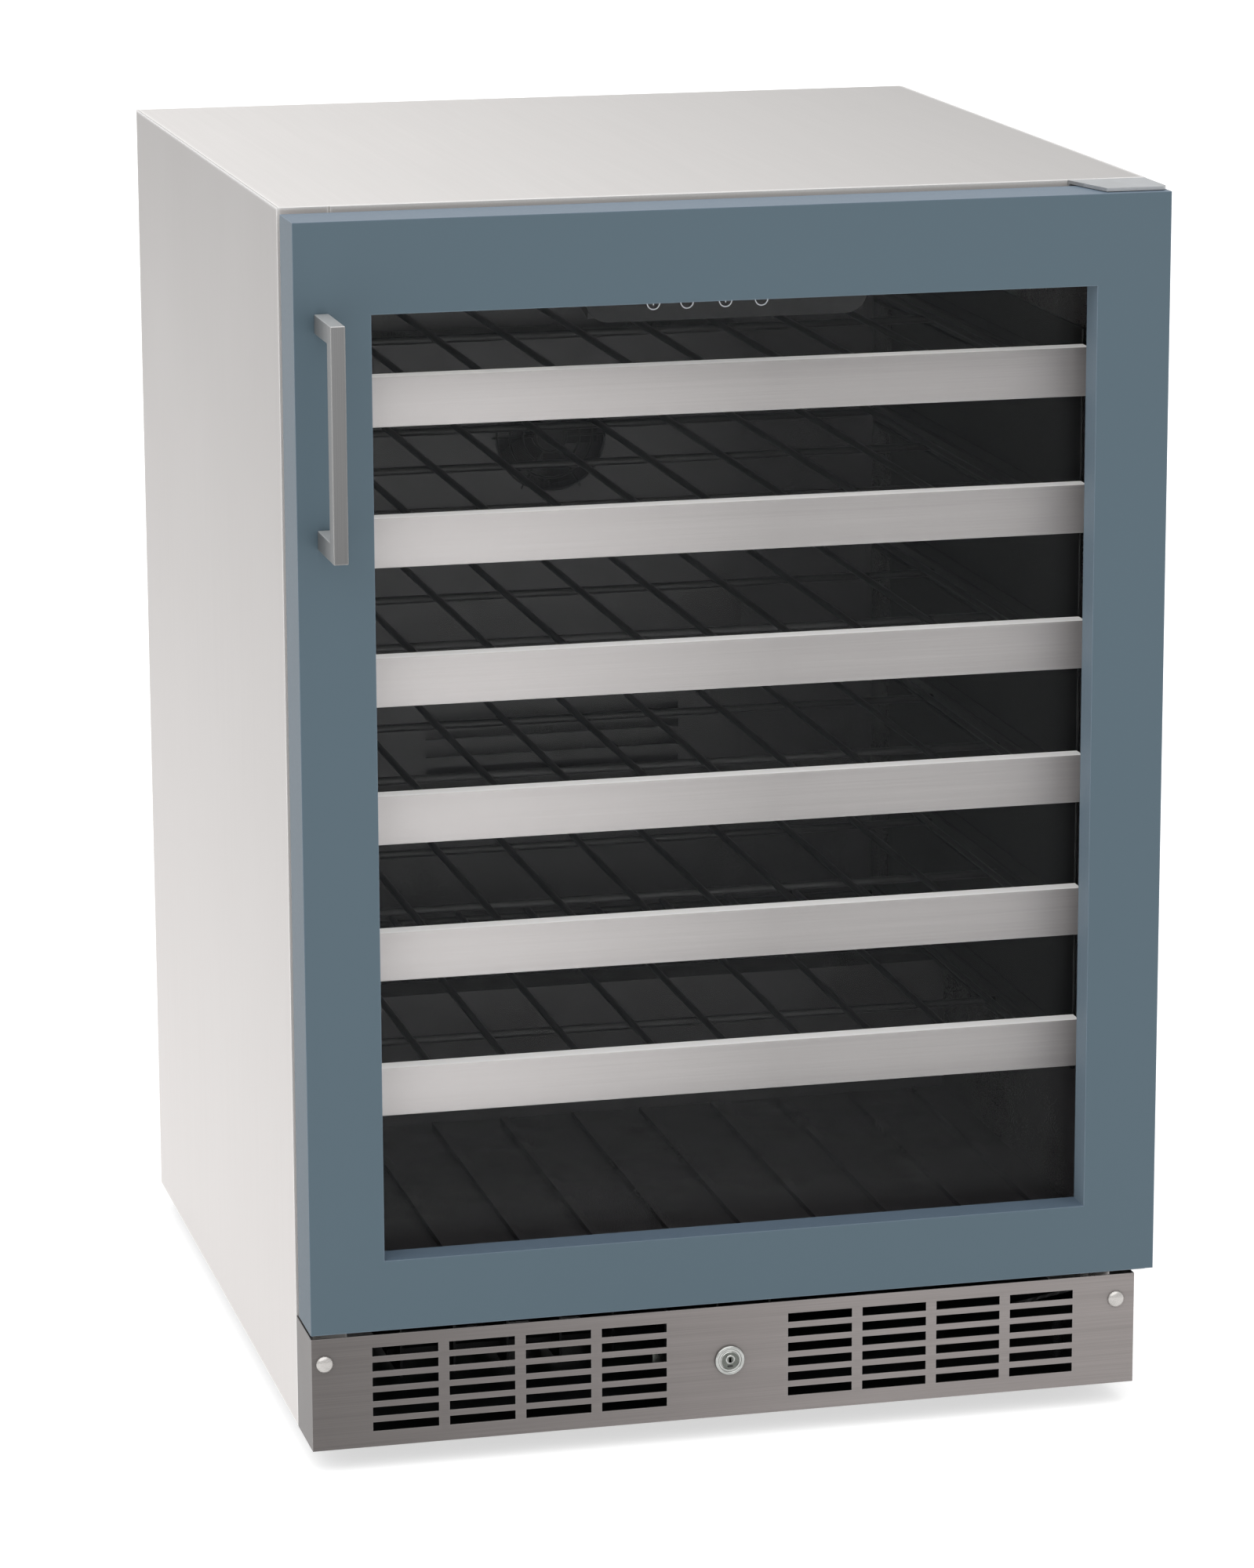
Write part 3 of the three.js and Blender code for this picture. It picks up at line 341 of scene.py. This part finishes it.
def glass():  # clear where faced and bright at a slant, with the low-emissivity coat's faint tint
    finish = Finish("door_glass")
    wave = finish.noise((6, 6, 6), 1.0)
    lean = finish.node("ShaderNodeFresnel", {}, {"IOR": 1.46})["Fac"]
    clear = finish.node("ShaderNodeBsdfTransparent", {}, {"Color": (0.975, 0.975, 0.975, 1)})["BSDF"]
    shine = finish.node("ShaderNodeBsdfPrincipled", {}, {
        "Base Color": finish.between(wave, hue(150, 154, 156), hue(168, 172, 174)),
        "Metallic": 1.0,
        "Roughness": 0.02 + wave * 0.02})["BSDF"]
    both = finish.node("ShaderNodeMixShader", {}, {0: lean * 0.2, 1: clear, 2: shine})["Shader"]
    finish.node("ShaderNodeOutputMaterial", {}, {"Surface": both})
    return finish.material


def rubber():
    finish = Finish("gasket_rubber")
    bloom = finish.noise((60, 60, 60), 4.0)
    grit = finish.noise((1500, 1500, 1500), 2.0)
    return finish.done(
        Base_Color=finish.between(bloom, hue(38, 39, 42), hue(56, 57, 60)),
        Roughness=0.62 + (bloom - 0.5) * 0.2,
        Normal=finish.bump(grit, 0.05 * mm, 0.3))


def zinc():  # plated steel with a soft spangle
    finish = Finish("zinc_steel")
    sheen = finish.axis("X", finish.cells(120)["Color"])
    dust = finish.noise((18, 18, 18), 4.0)
    return finish.done(
        Base_Color=finish.between(sheen * 0.7 + dust * 0.3, hue(158, 160, 162), hue(176, 178, 180)),
        Metallic=0.7,
        Roughness=0.36 + sheen * 0.16 + dust * 0.08,
        Normal=finish.bump(dust, 0.1 * mm, 0.2))


def foam():
    finish = Finish("foam")
    bubble = finish.cells(900)["Distance"]
    cloud = finish.noise((12, 12, 12), 3.0)
    return finish.done(
        Base_Color=finish.between(bubble * 0.5 + cloud * 0.5, hue(214, 190, 128), hue(238, 222, 170)),
        Roughness=0.85 + (cloud - 0.5) * 0.1,
        Normal=finish.bump(bubble, 0.4 * mm, 0.6))


def finMetal():
    finish = Finish("fins")
    dust = finish.noise((70, 70, 70), 4.0)
    fine = finish.noise((1200, 60, 60), 2.0)
    return finish.done(
        Base_Color=finish.between(dust * 0.6 + fine * 0.4, hue(138, 140, 142), hue(196, 198, 200)),
        Metallic=0.8,
        Roughness=0.38 + dust * 0.2,
        Normal=finish.bump(fine, 0.1 * mm, 0.4))


def copper():
    finish = Finish("copper")
    stain = finish.noise((45, 45, 45), 4.0)
    draw = finish.noise((900, 40, 900), 2.0)
    return finish.done(
        Base_Color=finish.between(stain, hue(150, 84, 52), hue(206, 128, 88)),
        Metallic=0.95,
        Roughness=0.28 + stain * 0.22,
        Normal=finish.bump(draw, 0.05 * mm, 0.4))


def enamel():
    finish = Finish("black_paint")
    run = finish.noise((30, 30, 12), 3.0)
    peel = finish.noise((500, 500, 500), 2.0)
    return finish.done(
        Base_Color=finish.between(run, hue(24, 24, 26), hue(40, 40, 42)),
        Roughness=0.34 + (run - 0.5) * 0.15,
        Normal=finish.bump(peel, 0.1 * mm, 0.4))


lampStrip = {"pitch": 16, "glow": 3.0}  # a diode every so many millimetres behind a milky strip


def lampLens():
    finish = Finish("lamp")
    turn = finish.axis("X", finish.place) * (2 * math.pi / (lampStrip["pitch"] * mm))
    dots = finish.node("ShaderNodeMath", {"operation": "COSINE"}, {0: turn})["Value"] * 0.5 + 0.5
    frost = finish.noise((400, 400, 400), 2.0)
    return finish.done(
        Base_Color=finish.between(frost, hue(225, 224, 220), hue(242, 241, 238)),
        Emission_Color=finish.between(dots ** 3.0, hue(150, 148, 142), hue(255, 250, 238)),
        Emission_Strength=lampStrip["glow"],
        Roughness=0.35 + frost * 0.15)


def printedMark():
    finish = Finish("panel_marks")
    dust = finish.noise((900, 900, 900), 2.0)
    pale = finish.between(dust, hue(196, 200, 205), hue(232, 234, 238))
    return finish.done(
        Base_Color=pale,
        Emission_Color=pale,
        Emission_Strength=0.35,
        Roughness=0.4 + dust * 0.1)


finishes = {
    "cabinet_steel": steel("cabinet"),
    "top_steel": steel("top"),
    "shelf_steel": steel("shelf"),
    "brushed_kick": steel("kick"),
    "handle_aluminium": steel("handle"),
    "screw_steel": steel("screw"),
    "door_paint": doorPaint(),
    "lock_chrome": chrome("lock_chrome", hue(150, 152, 150), hue(196, 197, 194), 0.10),
    "lock_core": chrome("lock_core", hue(84, 88, 84), hue(116, 119, 114), 0.22),
    "black_liner": plastic("black_liner", hue(72, 70, 71), 0.28, 1500, 0.01),
    "black_plastic": plastic("black_plastic", hue(34, 33, 34), 0.46, 1300, 0.06),
    "foot_plastic": plastic("foot_plastic", hue(30, 30, 31), 0.50, 1100, 0.06),
    "rack_wire": plastic("rack_wire", hue(38, 37, 38), 0.36, 500, 0.05),
    "gloss_black": glossPanel(),
    "glass": glass(),
    "gasket_rubber": rubber(),
    "zinc_steel": zinc(),
    "foam": foam(),
    "fins": finMetal(),
    "copper": copper(),
    "black_paint": enamel(),
    "lamp": lampLens(),
    "panel_marks": printedMark(),
}
ownFinish = {"top_panel": "top_steel", "lock_plug": "lock_core"}  # these differ from their slot
print("finishes mixed:", len(finishes))


# sheets and mouldings with softened edges, each with its radius in millimetres
edges = {
    "side_panel_left": 0.45, "side_panel_right": 0.45, "top_panel": 0.45, "door_frame": 0.7, "handle": 0.9,
    "kick_plate": 0.45, "hinge_bracket_top": 0.6, "hinge_bracket_bottom": 0.5, "glass_outer": 0.5,
    "glass_inner": 0.5, "glass_spacer": 0.4, "glass_retainer": 0.6, "liner_floor": 0.8, "liner_left": 0.3,
    "liner_right": 0.3, "liner_top": 0.3, "liner_back": 0.3, "liner_step": 0.6, "shelf_rail_left": 0.7,
    "shelf_rail_right": 0.7, "control_housing": 1.0, "light_strip": 1.0, "evaporator_cover": 0.5,
    "evaporator_fan": 0.4, "condenser_fan": 0.4, "condenser_fan_motor": 0.4, "compressor": 0.8,
    "drain_pan": 0.6, "back_panel": 0.3, "base_pan": 0.3, "front_rail": 0.3, "machine_bay_cover": 0.3,
}
softening = {"weld": 0.02, "flat": 0.6, "sharp": 40, "segments": 2}  # millimetres, degrees, degrees


def soften(part, radius):
    weld = part.modifiers.new("weld", "WELD")
    weld.merge_threshold = softening["weld"] * mm
    flat = part.modifiers.new("flat", "DECIMATE")
    flat.decimate_type = "DISSOLVE"
    flat.angle_limit = math.radians(softening["flat"])
    edge = part.modifiers.new("edge", "BEVEL")
    edge.width = radius * mm
    edge.segments = softening["segments"]
    edge.limit_method = "ANGLE"
    edge.angle_limit = math.radians(softening["sharp"])
    edge.harden_normals = True
    edge.use_clamp_overlap = True


def dressFrame():  # every part gets its slot's finish
    slotOf = {part["node"]: part["material_slot"] for part in frame["record"]["subparts"]}
    for name, part in frame["nodes"].items():
        part.data.materials.clear()
        part.data.materials.append(finishes[ownFinish.get(name, slotOf[name])])
        if "custom_normal" in part.data.attributes:
            part.data.attributes.remove(part.data.attributes["custom_normal"])
        part.data.shade_smooth()
        if name in edges:
            soften(part, edges[name])


dressFrame()
print("frame dressed")


def addPiece(name, mesh, slot, body, stands=(), sharp=38, finish=None):
    bmesh.ops.recalc_face_normals(mesh, faces=mesh.faces)
    data = bpy.data.meshes.new(name)
    mesh.to_mesh(data)
    mesh.free()
    data.materials.append(finishes[finish or slot])
    data.shade_smooth()
    data.set_sharp_from_angle(angle=math.radians(sharp))
    piece = bpy.data.objects.new(name, data)
    bpy.context.scene.collection.objects.link(piece)
    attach(piece, body)
    if stands:
        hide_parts(*stands)
    return piece


def circle(sides):  # points of a circle of radius 1
    turns = [2 * math.pi * i / sides for i in range(sides)]
    return [(math.cos(turn), math.sin(turn)) for turn in turns]


def arc(centre, radius, start, end, steps):  # points of a round stretch, angles in degrees
    turns = [math.radians(start + (end - start) * i / steps) for i in range(steps + 1)]
    return [(centre[0] + radius * math.cos(turn), centre[1] + radius * math.sin(turn)) for turn in turns]


def dome(radius, height, start, end, steps):  # the outline of a domed head, which is flatter than it is wide
    return [(x, y * height / radius) for x, y in arc((0, 0), radius, start, end, steps)]


def middleOf(node):
    low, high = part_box(node)
    return (low + high) / 2


def skin(mesh, rings, closed):  # joins rings of equal length into a tube, or into a ring that meets itself
    last = len(rings) if closed else len(rings) - 1
    for i in range(last):
        here, there = rings[i], rings[(i + 1) % len(rings)]
        for j in range(len(here)):
            k = (j + 1) % len(here)
            mesh.faces.new((here[j], here[k], there[k], there[j]))
    if not closed:
        mesh.faces.new(rings[0][::-1])
        mesh.faces.new(rings[-1])


def lathe(mesh, profile, at, axis, sides=48):  # profile is a list of (radius, height), in millimetres
    turn = Vector(axis).to_track_quat("Z", "Y").to_matrix()
    rings = []
    for radius, height in profile:
        spots = [Vector((x * radius, y * radius, height)) * mm for x, y in circle(sides)]
        rings.append([mesh.verts.new(Vector(at) + turn @ spot) for spot in spots])
    closed = profile[0] == profile[-1]
    skin(mesh, rings, closed)
    if closed:
        bmesh.ops.remove_doubles(mesh, verts=mesh.verts, dist=0.0001 * mm)


def rod(mesh, start, end, radius, sides=12):  # a round rod with domed ends
    start, end = Vector(start), Vector(end)
    along = (end - start).normalized()
    turn = along.to_track_quat("Z", "Y").to_matrix()
    tips = [math.radians(angle) for angle in (0, 30, 60, 80)]
    cap = [(radius * (1 - math.sin(tip)), radius * math.cos(tip)) for tip in tips]
    stations = [(start + along * inset, reach) for inset, reach in reversed(cap)]
    stations += [(end - along * inset, reach) for inset, reach in cap]
    rings = []
    for centre, reach in stations:
        rings.append([mesh.verts.new(centre + turn @ Vector((x, y, 0)) * reach) for x, y in circle(sides)])
    skin(mesh, rings, False)


def extrude(mesh, section, low, high):  # a closed (y, z) outline run along x
    ends = [[mesh.verts.new((x, y, z)) for y, z in section] for x in (low, high)]
    skin(mesh, ends, False)


def slab(mesh, low, high, edge):  # a block with eased edges
    made = bmesh.ops.create_cube(mesh, size=1)["verts"]
    size = Vector(high) - Vector(low)
    middle = (Vector(high) + Vector(low)) / 2
    for vert in made:
        vert.co = Vector(vert.co[i] * size[i] + middle[i] for i in range(3))
    sides = {e for vert in made for e in vert.link_edges}
    bmesh.ops.bevel(mesh, geom=list(sides), offset=edge, segments=2, affect="EDGES", profile=0.5)


# a shelf is a folded steel front with rolled edges and a rack of coated wire
shelfFront = {"sheet": 1.2 * mm, "roll": 1.3 * mm, "lip": 5 * mm, "steps": 2}
shelfRack = {
    "bottles": 5, "pitch": 107 * mm, "spread": 26 * mm, "rod": 2.5 * mm, "rodEnd": 3 * mm,
    "bar": 3 * mm, "barEnd": 2.5 * mm, "weld": 0.4 * mm,
    "outerBars": 5 * mm, "innerBars": (-80 * mm, 85 * mm),
    "side": 6 * mm, "sideFront": 12 * mm, "sideDrop": 0.6 * mm, "sideEdge": 0.8 * mm,
    "hook": 2.4 * mm, "hookFront": 3 * mm, "hookBack": 20 * mm}
shelfCount = sum(name.endswith("_rack") for name in frame["nodes"])


def foldedOutline(front, back, low, high):  # a channel whose two bends are rounded and whose lips are hemmed
    out, sheet, steps = shelfFront["roll"], shelfFront["sheet"], shelfFront["steps"]
    inner = out - sheet
    top = arc((front + out, high - out), out, 180, 90, steps)
    topIn = arc((front + out, high - out), inner, 90, 180, steps)
    bottomIn = arc((front + out, low + out), inner, 180, 270, steps)
    bottom = arc((front + out, low + out), out, 270, 180, steps)
    hem, bend = back - shelfFront["lip"], back - sheet
    topHem = [(bend, high), (back, high - sheet), (bend, high - 2 * sheet), (hem, high - 2 * sheet)]
    topHem += [(hem, high - sheet)]
    bottomHem = [(hem, low + sheet), (hem, low + 2 * sheet), (bend, low + 2 * sheet), (back, low + sheet)]
    bottomHem += [(bend, low)]
    return top + topHem + topIn + bottomIn + bottomHem + bottom


def makeShelfFront(number):
    node = f"shelf_{number}_front"
    low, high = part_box(node)
    mesh = bmesh.new()
    extrude(mesh, foldedOutline(low.y, high.y, low.z, high.z), low.x, high.x)
    addPiece(f"shelf_front_{number}", mesh, "shelf_steel", f"shelf_{number}", [node], 30)


def makeShelfRack(number):
    node = f"shelf_{number}_rack"
    low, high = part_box(node)
    radius, bar, side, end = (shelfRack[key] for key in ("rod", "bar", "side", "rodEnd"))
    rodLevel = high.z - radius
    barLevel = rodLevel - radius - bar + shelfRack["weld"]
    mesh = bmesh.new()
    for x in (low.x, high.x - side):
        start = (x, low.y + shelfRack["sideFront"], low.z)
        slab(mesh, start, (x + side, high.y, high.z - shelfRack["sideDrop"]), shelfRack["sideEdge"])
    for y in (low.y + shelfRack["outerBars"], *shelfRack["innerBars"], high.y - shelfRack["outerBars"]):
        barEnd = shelfRack["barEnd"]
        rod(mesh, (low.x + barEnd, y, barLevel), (high.x - barEnd, y, barLevel), bar)
    for x in (low.x + side / 2, high.x - side / 2):
        start = (x, low.y + shelfRack["hookFront"], barLevel)
        rod(mesh, start, (x, low.y + shelfRack["hookBack"], barLevel), shelfRack["hook"])
    for bottle in range(shelfRack["bottles"]):
        middle = shelfRack["pitch"] * (bottle - (shelfRack["bottles"] - 1) / 2)
        for x in (middle - shelfRack["spread"], middle + shelfRack["spread"]):
            rod(mesh, (x, low.y + end, rodLevel), (x, high.y - end, rodLevel), radius)
    addPiece(f"shelf_rack_{number}", mesh, "rack_wire", f"shelf_{number}", [node], 50)


for shelfNumber in range(1, shelfCount + 1):
    makeShelfFront(shelfNumber)
    makeShelfRack(shelfNumber)
print("shelves made:", shelfCount)


# the door's seal is a magnet tube on a bellows, with the same section all round
seal = {"width": 18 * mm, "tube": 4.2 * mm, "foot": 4 * mm, "fold": 1.6 * mm, "steps": 5}


def makeSeal():
    low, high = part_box("door_gasket")
    width, tube, fold = seal["width"], seal["tube"], seal["fold"]
    face, crease, neck = high.y, low.y + seal["foot"] / 2, low.y + seal["foot"]
    section = [(0, low.y), (width, low.y), (width - fold, crease), (width, neck)]
    section += [(width - a, face - b) for a, b in arc((tube, tube), tube, 180, 270, seal["steps"])]
    section += [(tube - a, face - b) for a, b in arc((0, tube), tube, 270, 360, seal["steps"])]
    section += [(0, neck), (fold, crease)]
    mesh = bmesh.new()
    rings = []
    for side, up in ((-1, False), (1, False), (1, True), (-1, True)):
        ring = []
        for inset, y in section:
            x = (high.x - inset) * side
            z = high.z - inset if up else low.z + inset
            ring.append(mesh.verts.new((x, y, z)))
        rings.append(ring)
    skin(mesh, rings, True)
    addPiece("door_seal", mesh, "gasket_rubber", "door", ["door_gasket"], 40)


makeSeal()
print("seal made")


# turned pieces, in millimetres; the lock's bezel is a rolled rim round a shallow dish
lock = {"outer": 10.7, "bore": 6.1, "body": 8, "flange": 2.8, "rim": 1.6, "dish": 1.2, "well": 7.0,
        "lip": 0.4}
keyway = {"up": 1.0, "bore": 2.3, "outer": 3.3, "crest": 2.9, "under": -0.5, "shoulder": 0.5, "proud": 0.8,
          "tabLow": (-1.8, -0.5, -4.6), "tabHigh": (1.8, 0.3, -3.4), "tabEdge": 0.1}
screwHead = {"radius": 6.0, "height": 3.1, "proud": 3, "shank": 2, "ease": 0.3, "tip": 0.3}
backScrews = {"radius": 4.2, "height": 2.0, "rim": 0.5, "tip": 0.4, "inset": 12,
              "levels": (28, 230, 440, 650, 846)}
foot = {"pad": 13.5, "padTop": 9.7, "ease": 1.4, "ridges": 4, "ridgeFrom": 2.0, "ridgePitch": 1.6,
        "groove": 0.5, "collar": 7.0, "collarTop": 15.6, "core": 0.5, "stud": 4.0, "pitch": 1.25,
        "threadFrom": 16.4, "threadDepth": 0.55}
forward, backward, upward = (0, -1, 0), (0, 1, 0), (0, 0, 1)


def makeLock():
    low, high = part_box("lock_barrel")
    middle, back = middleOf("lock_barrel"), (low.y - high.y) / mm
    outer, bore, body, flange = (lock[key] for key in ("outer", "bore", "body", "flange"))
    rim, dish, well, lip = (lock[key] for key in ("rim", "dish", "well", "lip"))
    bezel = [(bore, back), (body, back), (body, -flange), (outer, -flange), (outer, -rim)]
    bezel += arc((outer - rim, -rim), rim, 0, 90, 5)[1:]
    bezel += arc((outer - rim, -dish), dish, 90, 180, 4)[1:] + [(well, -dish)]
    bezel += arc((well, lip - dish), lip, 270, 180, 3)[1:] + [(bore, -lip), (bore, back)]
    mesh = bmesh.new()
    lathe(mesh, bezel, (middle.x, low.y, middle.z), forward, 64)
    addPiece("lock_bezel", mesh, "lock_chrome", "cabinet", ["lock_barrel"], 30)


def makeKeyway():  # a raised ring round the key's slot, and a short tab under it
    middle = middleOf("lock_barrel")
    middle.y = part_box("lock_plug")[0].y
    bore, outer, under, shoulder = (keyway[key] for key in ("bore", "outer", "under", "shoulder"))
    ring = [(bore, under), (outer, under), (outer, shoulder), (keyway["crest"], keyway["proud"])]
    ring += [(bore, shoulder), (bore, under)]
    mesh = bmesh.new()
    lathe(mesh, ring, middle + Vector((0, 0, keyway["up"] * mm)), forward, 32)
    addPiece("key_ring", mesh, "lock_chrome", "lock")
    mesh = bmesh.new()
    start, end = (middle + Vector(keyway[key]) * mm for key in ("tabLow", "tabHigh"))
    slab(mesh, start, end, keyway["tabEdge"] * mm)
    addPiece("key_tab", mesh, "black_plastic", "lock")


def makeScrew(side):
    node = "kick_screw_" + side
    low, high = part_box(node)
    seat = low.y + screwHead["proud"] * mm  # where the head's underside is
    tail = (seat - high.y) / mm
    radius, height, shank, ease = (screwHead[key] for key in ("radius", "height", "shank", "ease"))
    head = [(shank, tail), (shank, 0), (radius - 0.2, 0), (radius, ease)]
    head += dome(radius, height, 9, 81, 8) + [(screwHead["tip"], height)]
    middle = middleOf(node)
    mesh = bmesh.new()
    lathe(mesh, head, (middle.x, seat, middle.z), forward)
    addPiece("dome_screw_" + side, mesh, "screw_steel", "cabinet", [node], 40)


def makeBackScrews():
    low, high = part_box("back_panel")
    radius, height, inset = backScrews["radius"], backScrews["height"], backScrews["inset"] * mm
    head = [(backScrews["tip"], 0), (radius, 0), (radius, backScrews["rim"])]
    head += dome(radius, height, 24, 84, 5)
    mesh = bmesh.new()
    for level in backScrews["levels"]:
        for x in (low.x + inset, high.x - inset):
            lathe(mesh, head, (x, high.y, level * mm), backward, 24)
    addPiece("back_screws", mesh, "screw_steel", "cabinet", sharp=40)


def footOutline(tall):  # a ribbed pad, a collar and a threaded stud
    pad, ease, groove, core = foot["pad"], foot["ease"], foot["groove"], foot["core"]
    outline = [(core, 0), (pad - ease, 0), (pad - 0.4, 0.5), (pad, ease)]
    for ridge in range(foot["ridges"]):
        z = foot["ridgeFrom"] + foot["ridgePitch"] * ridge
        outline += [(pad, z), (pad - groove, z + 0.4), (pad - groove, z + 0.8), (pad, z + 1.2)]
    collar, top, padTop = foot["collar"], foot["collarTop"], foot["padTop"]
    outline += [(pad - 0.3, padTop - 0.8), (pad - ease, padTop), (collar + ease, padTop + 0.5)]
    outline += [(collar + 0.4, padTop + 0.9), (collar, padTop + 1.5), (collar, top - 0.6)]
    outline += [(collar - 0.6, top)]
    stud, pitch = foot["stud"], foot["pitch"]
    outline += [(stud - 0.3, top)]
    z = foot["threadFrom"]
    while z < tall - 1.5:
        outline += [(stud - foot["threadDepth"], z), (stud, z + pitch / 2)]
        z += pitch
    return outline + [(stud - 0.9, tall), (core, tall)]


def makeFoot(node):
    low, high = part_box(node)
    middle = middleOf(node)
    mesh = bmesh.new()
    lathe(mesh, footOutline((high.z - low.z) / mm), (middle.x, middle.y, low.z), upward, 40)
    addPiece(node.replace("foot", "level_foot"), mesh, "foot_plastic", node, [node], 25)


makeLock()
makeKeyway()
makeBackScrews()
for side in ("left", "right"):
    makeScrew(side)
for name in frame["nodes"]:
    if name.startswith("foot_"):
        makeFoot(name)
print("lock, screws and feet made")


# the touch panel's marks are rings and bars in millimetres, with no lettering
marks = {"places": (-45.2, -22.0, 4.7, 29.7), "level": 786.0, "radius": 4.6, "line": 0.55, "proud": 0.05,
         "steps": 36, "bar": 1.5, "flag": 4.5, "dash": 1.6, "half": 0.3, "edge": 0.01}


def flatRing(mesh, x, z, y, start, end):
    loops = []
    for reach in (marks["radius"], marks["radius"] - marks["line"]):
        spots = arc((x, z), reach, start, end, marks["steps"])
        for lift in (0, marks["proud"] * mm):
            loops.append([mesh.verts.new((a * mm, y - lift, b * mm)) for a, b in spots])
    outBack, outFront, inBack, inFront = loops
    for i in range(marks["steps"]):
        for a, b in ((outFront, inFront), (inBack, outBack), (inFront, inBack), (outBack, outFront)):
            mesh.faces.new((a[i], a[i + 1], b[i + 1], b[i]))
    if end - start < 360:
        for i in (0, marks["steps"]):
            mesh.faces.new((outFront[i], inFront[i], inBack[i], outBack[i]))


def makeMarks():
    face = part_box("control_face")[0].y
    front, half, z = face - marks["proud"] * mm, marks["half"], marks["level"]
    mesh = bmesh.new()
    for number, x in enumerate(marks["places"]):
        start = 120 if number == 1 else 0
        flatRing(mesh, x, z, face, start, start + (300 if number == 1 else 360))
        bars = []
        if number in (0, 2):
            bars.append((half, -marks["bar"], marks["bar"] + (marks["flag"] if number == 0 else 0)))
        if number in (0, 3):
            bars.append((marks["dash"], -half, half))
        for width, low, high in bars:
            start, end = ((x - width) * mm, front, (z + low) * mm), ((x + width) * mm, face, (z + high) * mm)
            slab(mesh, start, end, marks["edge"] * mm)
    bmesh.ops.remove_doubles(mesh, verts=mesh.verts, dist=0.001 * mm)
    addPiece("panel_marks", mesh, "gloss_black", "cabinet", finish="panel_marks")


makeMarks()


# the fan's wire guard on the evaporator cover, in millimetres
guard = {"rings": (12, 22, 32, 42), "wire": 0.9, "spokes": 6, "inner": 10, "outer": 46, "centre": (0, 610),
         "proud": 1.6, "steps": 48, "sides": 8}


def wireRing(mesh, centre, radius, wire):
    rings = []
    for x, z in circle(guard["steps"]):
        out = Vector((x, 0, z))
        spots = [out * (radius + wire * a) + Vector((0, wire * b, 0)) for a, b in circle(guard["sides"])]
        rings.append([mesh.verts.new(centre + spot) for spot in spots])
    skin(mesh, rings, True)


def makeGuard():
    across, level = guard["centre"]
    centre = Vector((across * mm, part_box("evaporator_cover")[0].y - guard["proud"] * mm, level * mm))
    wire = guard["wire"] * mm
    mesh = bmesh.new()
    for radius in guard["rings"]:
        wireRing(mesh, centre, radius * mm, wire)
    behind = centre + Vector((0, wire, 0))
    for x, z in circle(guard["spokes"]):
        out = Vector((x, 0, z)) * mm
        rod(mesh, behind + out * guard["inner"], behind + out * guard["outer"], wire, guard["sides"])
    addPiece("fan_guard", mesh, "rack_wire", "cabinet", sharp=60)


makeGuard()
print("panel marks and fan guard made")


# a pale floor that glows a little and soft light, with the floor's radius in metres and the spread in degrees
ground = {"radius": 60, "sides": 64, "paint": (hue(188, 188, 188), hue(192, 192, 192)),
          "glow": (hue(252, 252, 252), white), "strength": 0.62}
sky = {"colour": white, "strength": 0.95}
sun = {"from": (-0.25, -0.2, 0.94), "strength": 1.6, "spread": 90}


def makeFloor():
    finish = Finish("studio_floor")
    drift = finish.noise((1.5, 1.5, 1.5), 2.0)
    paint = finish.done(
        Base_Color=finish.between(drift, *ground["paint"]),
        Emission_Color=finish.between(drift, *ground["glow"]),
        Emission_Strength=ground["strength"],
        Roughness=0.8)
    mesh = bmesh.new()
    bmesh.ops.create_circle(mesh, cap_ends=True, segments=ground["sides"], radius=ground["radius"])
    data = bpy.data.meshes.new("floor")
    mesh.to_mesh(data)
    mesh.free()
    data.materials.append(paint)
    floor = bpy.data.objects.new("floor", data)
    bpy.context.scene.collection.objects.link(floor)


def makeSun():  # one broad soft light from the upper left, the same over the whole floor
    light = bpy.data.lights.new("sun", "SUN")
    light.energy = sun["strength"]
    light.angle = math.radians(sun["spread"])
    lamp = bpy.data.objects.new("sun", light)
    lamp.rotation_mode = "QUATERNION"
    lamp.rotation_quaternion = Vector(sun["from"]).to_track_quat("Z", "Y")
    bpy.context.scene.collection.objects.link(lamp)


def makeSky():
    world = bpy.data.worlds.new("studio")
    world.use_nodes = True
    back = world.node_tree.nodes["Background"]
    back.inputs["Color"].default_value = sky["colour"]
    back.inputs["Strength"].default_value = sky["strength"]
    bpy.context.scene.world = world


makeFloor()
makeSun()
makeSky()
bpy.context.scene.view_settings.view_transform = "Standard"
print("room lit")
